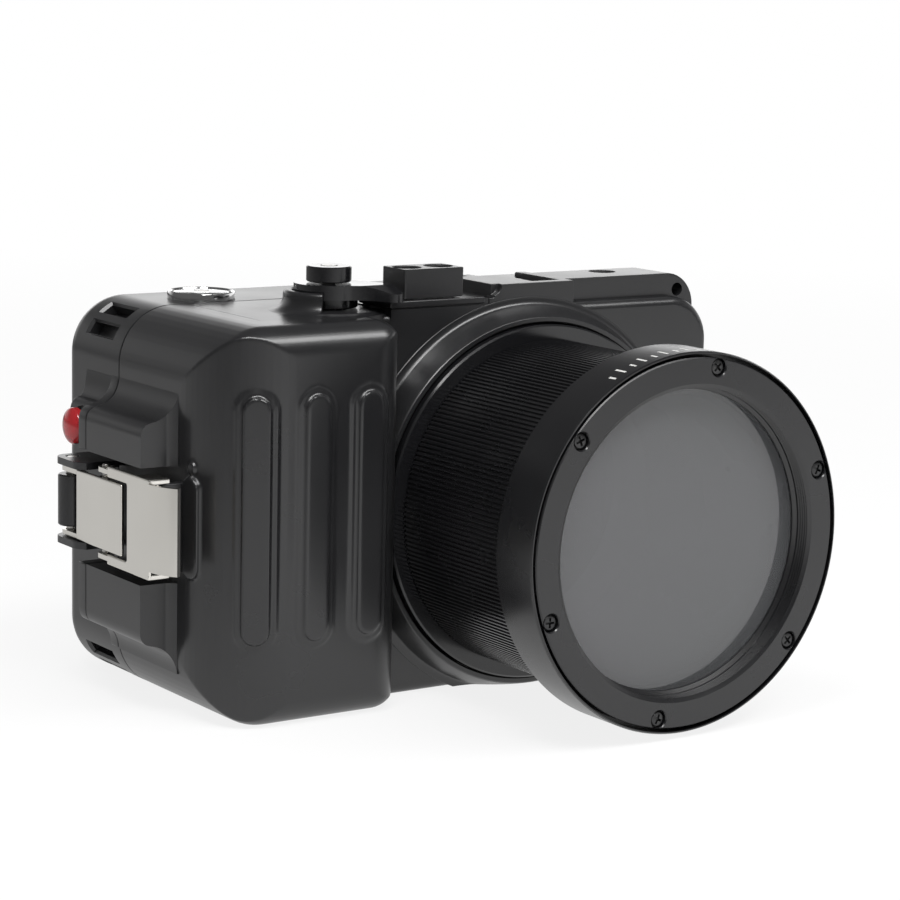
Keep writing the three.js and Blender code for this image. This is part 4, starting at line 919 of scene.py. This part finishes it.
def makeIndexTicks():
    t = indexTicks
    ticks = []
    for index in range(t["count"]):
        length = t["lengths"][index % 2]
        tick = addBox("tick", (frontRing["radius"] - t["sunk"], t["front"], -t["width"] / 2),
                      (frontRing["radius"] + t["raised"], t["front"] + length, t["width"] / 2))
        turnAbout(tick, -t["from"] - t["step"] * index, (0, 0, 0), "Y")
        tick.location = Vector(portAxis) * mm
        ticks.append(settle(tick, "tick"))
    marks = soften(joinAll(ticks, "indexTicks"), 0.02, 1)
    dress(marks, "tickPaint", "case", "black_anodised")


def screwPlaces():
    p = retainingPlate
    for index in range(p["screwCount"]):
        angle = math.radians(p["firstScrew"] + 360 / p["screwCount"] * index)
        yield index + 1, p["screwCircle"] * math.cos(angle), portAxis[2] + p["screwCircle"] * math.sin(angle)


def makePlate():
    p = retainingPlate
    front, rear, mouth, pitch = p["front"], p["rear"], p["mouth"], p["threadPitch"]
    profile = [(p["radius"], rear), (p["radius"], front + 0.25), (p["radius"] - 0.25, front)]
    profile += [(mouth + 0.9, front), (mouth + 0.3, front + 0.35)]
    y = front + 0.5
    while y < rear - 2 * pitch:
        profile += [(mouth, y), (mouth + p["threadDepth"], y + pitch * 0.45), (mouth, y + pitch * 0.9)]
        y += pitch
    profile += [(mouth, rear - 1), (p["lip"], rear - 0.45), (p["lip"], rear)]
    plate = addTurned("retainingPlate", profile, portAxis, "Y", 192)
    sink = [(0, -99), (2.25, -99), (2.25, -93.7), (2, -93.35)]
    sink += [(2, -91.65), (1.2, -91.65), (1.2, -80), (0, -80)]
    cutters = [addTurned(f"sink{index}", sink, (x, 0, z), "Y", 32) for index, x, z in screwPlaces()]
    combine(plate, [joinAll(cutters, "sinks")], "DIFFERENCE")
    shade(plate, 18)
    dress(plate, "blackAnodised", "case", "black_anodised", "port_retaining_plate")


screwSlot = (0.26, 1.1)


def makeScrews():
    profile = [(0, -93.15), (0.9, -93.15), (1.45, -93.05), (1.75, -92.75), (1.75, -91.95)]
    profile += [(1, -91.95), (1, -86.45), (0.8, -86.15), (0, -86.15)]
    head = addTurned("screw", profile, (0, 0, 0), "Y", 32)
    half, reach = screwSlot
    arms = []
    for across, up in ((reach, half), (half, reach)):
        arms.append(addBox("arm", (-across, -99, -up), (across, -92.4, up)))
    combine(head, arms, "DIFFERENCE")
    for index, x, z in screwPlaces():
        screw = copyPiece(head, f"portScrew{index}")
        turnAbout(screw, 23 * index, (0, 0, 0), "Y")
        screw.location = Vector((x, 0, z)) * mm
        settle(screw, f"portScrew{index}")
        shade(screw, 30)
        dress(screw, "darkScrew", "case", "dark_screw", f"port_screw_{index}")
    bpy.data.objects.remove(head)


portGlass = (-88.35, -84.35, 36.6, 0.3)


def makeGlass():
    front, rear, radius, edge = portGlass
    profile = [(0, front), (radius - edge, front), (radius, front + edge)]
    profile += [(radius, rear - edge), (radius - edge, rear), (0, rear)]
    glass = addTurned("portGlass", profile, portAxis, "Y", 128)
    shade(glass, 30)
    dress(glass, "portGlass", "case", "port_glass", "port_glass")


makeBarrel()
makeBaseRing()
makeFrontRing()
makeIndexTicks()
makePlate()
makeScrews()
makeGlass()
print("port made")


# controls on the top

socketBlock = {
    "low": (-33.5, -31.05, 91.2), "high": (-17.4, -21.75, 97.9),
    "sockets": (-30.0, -21.4), "y": -26.4, "radius": 3.2, "floor": 92.4,
}


def makeSocketBlock():
    s = socketBlock
    block = addBox("socketBlock", s["low"], s["high"])
    roundEdges(block, lambda a, b: abs(a.z - b.z) > 1, 0.5, 3)
    soften(block, 0.2, 2)
    top, radius, floor = s["high"][2], s["radius"], s["floor"]
    mouth = radius + 0.35
    profile = [(0, floor), (radius, floor), (radius, top - 0.35), (mouth, top), (mouth, 110), (0, 110)]
    holes = [addTurned("socket", profile, (x, s["y"], 0), "Z", 48) for x in s["sockets"]]
    combine(block, [joinAll(holes, "sockets")], "DIFFERENCE")
    shade(block, 30)
    dress(block, "caseCoating", "case", "black_anodised", "fibre_socket_block")


lever = {
    "place": boss["place"], "hub": 6.6, "disc": 7.9, "bottom": 89.1, "blade": 91.2, "high": 94.5, "clear": 3.5,
    "tip": (-37.9, -33.3, 2.2), "level": -28.8, "tipHigh": 93.0,
}


# a teardrop blade on a round hub, its top sloping down to the tip
def makeShutterLever():
    s = lever
    x, y = s["place"]
    tipX, tipY, tipRadius = s["tip"]
    disc, clear, under, high = s["disc"], s["clear"], s["bottom"], s["high"]
    profile = [(clear, under), (s["hub"] - 0.2, under), (s["hub"], under + 0.2)]
    profile += [(s["hub"], s["blade"] + 1), (clear, s["blade"] + 1)]
    hub = addTurned("shutterLever", profile, (x, y, 0), "Z", 64)
    plan = arcPoints(x, y, disc, 10, 265, 48)
    plan += bowPoints((x + 0.5, y - disc - 0.02), (tipX - 3.6, tipY + 3.8), (tipX - tipRadius, tipY - 0.3), 12)
    plan += arcPoints(tipX, tipY, tipRadius, 190, 350, 10)
    edge = tipX + tipRadius
    plan += bowPoints((edge, tipY + 0.4), (edge + 1.4, tipY + 8), (x + disc + 0.1, y + 0.4), 10)
    blade = addExtruded("leverBlade", "XY", plan, s["blade"], high)
    low = s["blade"] - 1
    side = [(tipY - 6, low), (y + 12, low), (y + 12, high + 1), (s["level"], high + 1)]
    side += [(s["level"], high - 0.001), (tipY - tipRadius, s["tipHigh"]), (tipY - 6, s["tipHigh"] - 0.6)]
    combine(blade, [addExtruded("leverSide", "YZ", side, x - 12, tipX + 8)], "INTERSECT")
    bore = addTurned("bore", [(0, 80), (clear, 80), (clear, 99), (0, 99)], (x, y, 0), "Z", 32)
    combine(blade, [bore], "DIFFERENCE")
    soften(blade, 0.5, 2, 40)
    piece = joinAll([hub, blade], "shutterLever")
    shade(piece, 30)
    dress(piece, "glossAnodised", "shutter", "black_anodised", "shutter_lever")


powerKnob = {"bore": 2, "radius": 5.1, "bottom": 94.8, "top": 98.35}


def makePowerKnob():
    k = powerKnob
    bore, radius, bottom, top = k["bore"], k["radius"], k["bottom"], k["top"]
    profile = [(bore, bottom), (radius - 0.2, bottom), (radius, bottom + 0.2)]
    profile += [(radius, top - 0.25), (radius - 0.25, top), (bore, top)]
    knob = addTurned("powerKnob", profile, (*lever["place"], 0), "Z", 64)
    shade(knob, 30)
    dress(knob, "glossAnodised", "power", "black_anodised", "power_knob")


modeDial = {"place": (-61.5, 11.85), "bore": 1.9, "outer": 6.7, "rim": (7.0, 7.9), "bottom": 88.5, "top": 90.0}


def makeModeDial():
    d = modeDial
    x, y = d["place"]
    bore, radius, bottom, top = d["bore"], d["outer"], d["bottom"], d["top"]
    profile = [(bore, bottom), (radius - 0.2, bottom), (radius, bottom + 0.2), (radius, top - 0.45)]
    profile += [(radius - 0.4, top - 0.2), (3.4, top), (bore, top)]
    knob = addTurned("modeDial", profile, (x, y, 0), "Z", 64)
    shade(knob, 30)
    dress(knob, "clearAcrylic", "mode_dial", "clear_acrylic", "mode_dial_knob")
    inner, outer = d["rim"]
    profile = [(inner, bottom), (outer, bottom), (outer, top - 0.5), (outer - 0.2, top - 0.1)]
    profile += [(outer - 0.4, top), (inner + 0.2, top - 0.1), (inner, top - 0.4)]
    rim = addTurned("modeDialRim", profile, (x, y, 0), "Z", 80)
    shade(rim, 30)
    dress(rim, "brightRim", "mode_dial", "bright_rim", "mode_dial_rim")


def makeRecordButton():
    r = recordButton
    under, radius = r["under"], r["radius"]
    rim = under + r["head"]
    stem, stemEnd = r["stem"]
    profile = [(0, stemEnd), (stem, stemEnd), (stem, under), (radius - 0.25, under), (radius, under + 0.25)]
    for step in range(14):
        angle = math.pi / 2 * step / 14
        profile.append((radius * math.cos(angle), rim + r["dome"] * math.sin(angle)))
    profile.append((0, rim + r["dome"]))
    button = addTurned("recordButton", profile, r["place"], "-X", 64)
    shade(button, 30)
    dress(button, "redGloss", "record", "red_button", "record_button")


makeSocketBlock()
makeShutterLever()
makePowerKnob()
makeModeDial()
makeRecordButton()
print("controls made")


# latch

latch = {
    "face": -97, "inner": -96, "bottom": 32.9, "top": 55, "linkBottom": 35.8, "linkTop": 51.9, "bend": -29.05,
    "split": -18.85, "linkFront": -16.2, "gap": 0.6, "armStop": -9.65, "linkRear": 5.35, "edge": 0.38,
    "lipEnds": (34.9, 54.1), "lipReach": 7.8, "webEnds": (35.2, 52.4),
    "flangeRear": -22.05, "flangeSide": -91.7,
}
lugs = {"side": -96.6, "thickness": 1.1, "wide": (2.3, 1.6), "slim": (1.8, 1.1)}
leverPin = {"place": (-94.7, -5.05), "radius": 0.9, "bottom": 33, "top": 54.7}


# a flat lug with a round bored end, lying in the plane of the top
def addLug(rear, pin, size, low):
    pinX, pinY = pin
    radius, bore = size
    outline = [(lugs["side"], rear)] + arcPoints(pinX, pinY, radius, 180, -20, 16)
    outline += [(pinX, pinY - radius), (latch["inner"] + 0.4, rear)]
    lug = addExtruded("lug", "XY", outline, low, low + lugs["thickness"])
    combine(lug, [addBore(bore, pinX, pinY)], "DIFFERENCE")
    return soften(lug, 0.18, 2)


def makeLatchLink():
    s = latch
    near = (s["face"], s["linkFront"], s["linkBottom"])
    far = (s["inner"], s["linkRear"], s["linkTop"])
    plate = addBox("latchLink", near, far)
    soften(plate, s["edge"], 3)
    forms = [plate]
    for low in (s["linkBottom"] + 0.15, s["linkTop"] - lugs["thickness"] - 0.15):
        forms.append(addLug(2, (latchPin["x"], latchPin["y"]), lugs["wide"], low))
        forms.append(addLug(-12, leverPin["place"], lugs["slim"], low))
    link = joinAll(forms, "latchLink")
    shade(link, 30)
    dress(link, "polishedSteel", "link", "polished_steel", "latch_link")


def makeLip():
    s = latch
    face, inner, bend = s["face"], s["inner"], s["bend"]
    tip = bend - s["lipReach"]
    outline = bowPoints((face, bend + 0.4), (face, bend - 4.7), (face + 2.8, tip), 14)
    outline += bowPoints((inner + 2.8, tip + 0.5), (inner, bend - 4.7), (inner, bend + 0.4), 14)
    lip = addExtruded("lip", "XY", outline, *s["lipEnds"])

    def atTip(a, b):
        return max(a.y, b.y) < tip + 0.6 and abs(a.y - b.y) > 0.2 and abs(a.z - b.z) < 0.01

    roundEdges(lip, atTip, 1, 4)
    return soften(lip, 0.3, 3)


def makeLatchLever():
    s = latch
    face, inner, bend, stop = s["face"], s["inner"], s["bend"], s["armStop"]
    split = s["split"]
    armLow, armHigh = s["linkBottom"] - s["gap"], s["linkTop"] + s["gap"]
    bottom, top = s["bottom"], s["top"]
    outline = [(bend, bottom), (stop, bottom), (stop, armLow), (split, armLow)]
    outline += [(split, armHigh), (stop, armHigh), (stop, top), (bend, top)]
    forms = [soften(addExtruded("latchLever", "YZ", outline, face, inner), s["edge"], 3)]
    for low in (bottom + 0.6, top - 0.9 - lugs["thickness"]):
        forms.append(addLug(stop - 3, leverPin["place"], lugs["slim"], low))
    for low in (bottom, top - 1.2):
        far = (s["flangeSide"], s["flangeRear"], low + 1.18)
        flange = addBox("flange", (face + 0.02, bend + 0.02, low + 0.02), far)
        forms.append(soften(flange, 0.25, 2))
    low, high = s["webEnds"]
    forms.append(soften(addBox("web", (face + 0.3, bend + 0.3, low), (-91.9, bend + 1, high)), 0.2, 2))
    forms.append(makeLip())
    lever = joinAll(forms, "latchLever")
    shade(lever, 30)
    dress(lever, "polishedSteel", "lever", "polished_steel", "latch_lever")


# a pin with a small chamfer at both ends
def makePin(name, place, radius, chamfer, bottom, top, body, node, steps):
    across, along = chamfer
    profile = [(0, bottom), (radius - across, bottom), (radius, bottom + along)]
    profile += [(radius, top - along), (radius - across, top), (0, top)]
    pin = addTurned(name, profile, (*place, 0), "Z", steps)
    shade(pin, 30)
    dress(pin, "turnedSteel", body, "stainless", node)


def makeLatchPins():
    p, small = latchPin, leverPin
    place, bottom, top = (p["x"], p["y"]), p["bottom"], p["top"]
    makePin("latchPin", place, p["radius"], (0.25, 0.25), bottom, top, "cover", "latch_hinge_pin", 40)
    radius, bottom, top = p["roll"]
    profile = [(p["bore"], bottom), (radius - 0.3, bottom), (radius, bottom + 0.3)]
    profile += [(radius, top - 0.3), (radius - 0.3, top), (p["bore"], top)]
    roll = addTurned("latchBarrel", profile, (p["x"], p["y"], 0), "Z", 48)
    shade(roll, 30)
    dress(roll, "blackAnodised", "cover", "black_anodised", "latch_barrel")
    radius, bottom, top = small["radius"], small["bottom"], small["top"]
    makePin("leverPin", small["place"], radius, (0.2, 0.2), bottom, top, "link", "latch_lever_pin", 32)
    radius, bottom, top = hinge["pin"]
    makePin("hingePin", hinge["place"], radius, (0.2, 0.2), bottom, top, "case", "hinge_pin", 32)


makeLatchLink()
makeLatchLever()
makeLatchPins()
print("latch made")


# back side

def makeBackButtons():
    profile = [(0, 22.75), (1.3, 22.75), (1.5, 22.95), (1.5, 30.15), (3.5, 30.15), (3.7, 30.35)]
    profile += [(3.7, 32.3), (3.55, 32.7), (3.1, 32.93), (2.4, 32.93), (0, 32.65)]
    button = addTurned("button", profile, (0, 0, 0), "Y", 48)
    for name, (x, z) in backButtons.items():
        twin = copyPiece(button, name.replace("_button", "Button"), (x, 0, z))
        shade(twin, 30)
        dress(twin, "buttonPlastic", name.replace("_button", ""), "button_black", name)
    bpy.data.objects.remove(button)


# margins round the opening, and depths
window = {"pane": 3.1, "paneDepth": (28.75, 31.35), "frame": 7.4, "frameDepth": (31.65, 33.05), "inside": 1}


def makeWindow():
    left, right, bottom, top, corner = backCase["window"]

    def outline(margin):
        corners = [corner + margin] * 4
        return roundedRectangle(left - margin, right + margin, bottom - margin, top + margin, corners, 10)

    pane = addExtruded("backWindow", "XZ", outline(window["pane"]), *window["paneDepth"])
    soften(pane, 0.2, 2)
    shade(pane, 30)
    dress(pane, "clearAcrylic", "cover", "clear_acrylic", "back_window")
    rim = addExtruded("windowFrame", "XZ", outline(window["frame"]), *window["frameDepth"])
    combine(rim, [addExtruded("inner", "XZ", outline(window["inside"]), 20, 40)], "DIFFERENCE")
    soften(rim, 0.35, 3)
    shade(rim, 30)
    dress(rim, "blackAnodised", "cover", "black_anodised", "window_frame")


makeBackButtons()
makeWindow()
print("back made")


# pieces kept from the frame, with better finishes

kept = {
    "sealSilicone": ["main_seal"],
    "blackRubber": [
        "port_base_seal", "port_glass_seal", "shutter_shaft_seal", "mode_dial_seal", "tray_pad", "window_seal",
    ],
    "blackAnodised": ["port_lock_ring", "camera_tray"],
    "turnedSteel": [
        "shutter_shaft", "shutter_spring", "power_shaft", "mode_dial_shaft", "record_button_spring",
        *(name + "_spring" for name in backButtons),
    ],
    "brassInsert": ["tripod_insert"],
}
for finish, names in kept.items():
    for name in names:
        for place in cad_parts[name].material_slots:
            place.material = finishes[finish]
print("kept pieces dressed")


# floor, background and lamps

studio = {
    "floorSize": 12, "nearShare": 0.84, "farShare": 1, "spread": (0.3, 0.95),
    "diffuse": 0.42, "around": 0.1, "behind": (0.7, 0.714, 0), "height": (0.22, 0.42), "rear": (0.1, 0.7),
    # pools: centre, near and far radius and strength of each pool of painted light glowing on the floor for
    # shiny things
    "pools": (((0.25, -0.4, 0), 0.3, 0.95, 1.0), ((-0.25, 0.25, 0), 0.3, 0.8, 0.55)), "poolFloor": 0.08,
    "lamps": {
        "overhead": {"place": (0.15, -0.65, 0.95), "aim": (0, -0.04, 0.07), "size": (1.2, 0.35), "power": 11},
        "left": {"place": (-0.42, -0.36, 1.0), "aim": (-0.05, -0.03, 0.07), "size": (0.3, 0.3), "power": 4},
        "rear": {"place": (0.75, 1.1, 0.32), "aim": (0, 0, 0.08), "size": (1.5, 0.3), "power": 1.5},
    },
}


def addMath(tree, operation, first, second):
    node = tree.nodes.new("ShaderNodeMath")
    node.operation = operation
    for place, value in enumerate((first, second)):
        if isinstance(value, (int, float)):
            node.inputs[place].default_value = value
        else:
            tree.links.new(value, node.inputs[place])
    return node.outputs[0]


def addVectorMath(tree, operation, value, other, result):
    node = tree.nodes.new("ShaderNodeVectorMath")
    node.operation = operation
    tree.links.new(value, node.inputs[0])
    node.inputs[1].default_value = other
    return node.outputs[result]


def addGlow(tree, kind, strength):
    glow = tree.nodes.new(kind)
    glow.inputs["Color"].default_value = (1, 1, 1, 1)
    if isinstance(strength, (int, float)):
        glow.inputs["Strength"].default_value = strength
    else:
        tree.links.new(strength, glow.inputs["Strength"])
    return glow.outputs[0]


def addMix(tree, amount, first, second):
    mix = tree.nodes.new("ShaderNodeMixShader")
    tree.links.new(amount, mix.inputs[0])
    tree.links.new(first, mix.inputs[1])
    tree.links.new(second, mix.inputs[2])
    return mix.outputs[0]


# white to the camera, with the shadow kept near the object; to shiny things the floor glows with two pools of
# painted light, dim elsewhere
def makeFloor():
    s = studio
    deselect()
    bpy.ops.mesh.primitive_plane_add(size=s["floorSize"], location=(0, 0, 0))
    floor = settle(bpy.context.object, "floor")
    material, nodes, links, shader = newMaterial("floorPaper")
    tree = material.node_tree
    grain = addNoise(nodes, links, 60, 3)
    links.new(addColours(nodes, links, grain, (0.86, 0.86, 0.86), (0.9, 0.9, 0.9)), shader.inputs["Base Color"])
    shader.inputs["Roughness"].default_value = 0.9
    shader.inputs["Specular IOR Level"].default_value = 0.1
    place = nodes.new("ShaderNodeTexCoord").outputs["Object"]
    pool = None
    # painted light: each pool glows brightest at its centre and fades to a dim glow, seen only by glossy and
    # transmission rays
    for centre, near, far, strength in s["pools"]:
        distance = addVectorMath(tree, "DISTANCE", place, centre, "Value")
        value = addRange(nodes, links, distance, strength, s["poolFloor"], near, far)
        pool = addMath(tree, "MAXIMUM", pool, value) if pool else value
    path = nodes.new("ShaderNodeLightPath")
    shiny = addMath(tree, "MAXIMUM", path.outputs["Is Glossy Ray"], path.outputs["Is Transmission Ray"])
    surface = addMix(tree, shiny, shader.outputs[0], addGlow(tree, "ShaderNodeEmission", pool))
    distance = addVectorMath(tree, "LENGTH", place, (0, 0, 0), "Value")
    share = addRange(nodes, links, distance, s["nearShare"], s["farShare"], *s["spread"])
    seen = addMath(tree, "MULTIPLY", path.outputs["Is Camera Ray"], share)
    surface = addMix(tree, seen, surface, addGlow(tree, "ShaderNodeEmission", 1))
    links.new(surface, nodes["Material Output"].inputs["Surface"])
    floor.data.materials.append(material)


# white behind the object, dim around the camera
def makeWorld():
    s = studio
    world = bpy.data.worlds.new("studio")
    bpy.context.scene.world = world
    world.use_nodes = True
    tree = world.node_tree
    nodes, links = tree.nodes, tree.links
    around = nodes["Background"]
    around.inputs["Color"].default_value = (1, 1, 1, 1)
    around.inputs["Strength"].default_value = s["diffuse"]
    direction = nodes.new("ShaderNodeTexCoord").outputs["Generated"]
    height = addVectorMath(tree, "DOT_PRODUCT", direction, (0, 0, 1), "Value")
    low = addRange(nodes, links, height, 1, 0, *s["height"])
    towards = addVectorMath(tree, "DOT_PRODUCT", direction, s["behind"], "Value")
    rear = addRange(nodes, links, towards, 0, 1, *s["rear"])
    strength = addRange(nodes, links, addMath(tree, "MULTIPLY", low, rear), s["around"], 1, 0, 1)
    path = nodes.new("ShaderNodeLightPath")
    glow = addGlow(tree, "ShaderNodeBackground", strength)
    surface = addMix(tree, path.outputs["Is Glossy Ray"], around.outputs[0], glow)
    clear = addMath(tree, "MAXIMUM", path.outputs["Is Camera Ray"], path.outputs["Is Transmission Ray"])
    surface = addMix(tree, clear, surface, addGlow(tree, "ShaderNodeBackground", 1))
    links.new(surface, nodes["World Output"].inputs["Surface"])


def makeLamps():
    for name, lamp in studio["lamps"].items():
        deselect()
        bpy.ops.object.light_add(type="AREA", location=lamp["place"])
        light = bpy.context.object
        light.name = name + "Lamp"
        light.data.shape = "RECTANGLE"
        light.data.size, light.data.size_y = lamp["size"]
        light.data.energy = lamp["power"]
        light.rotation_euler = (Vector(lamp["aim"]) - Vector(lamp["place"])).to_track_quat("-Z", "Y").to_euler()


makeFloor()
makeWorld()
makeLamps()
bpy.context.scene.view_settings.view_transform = "Standard"
print("studio made")
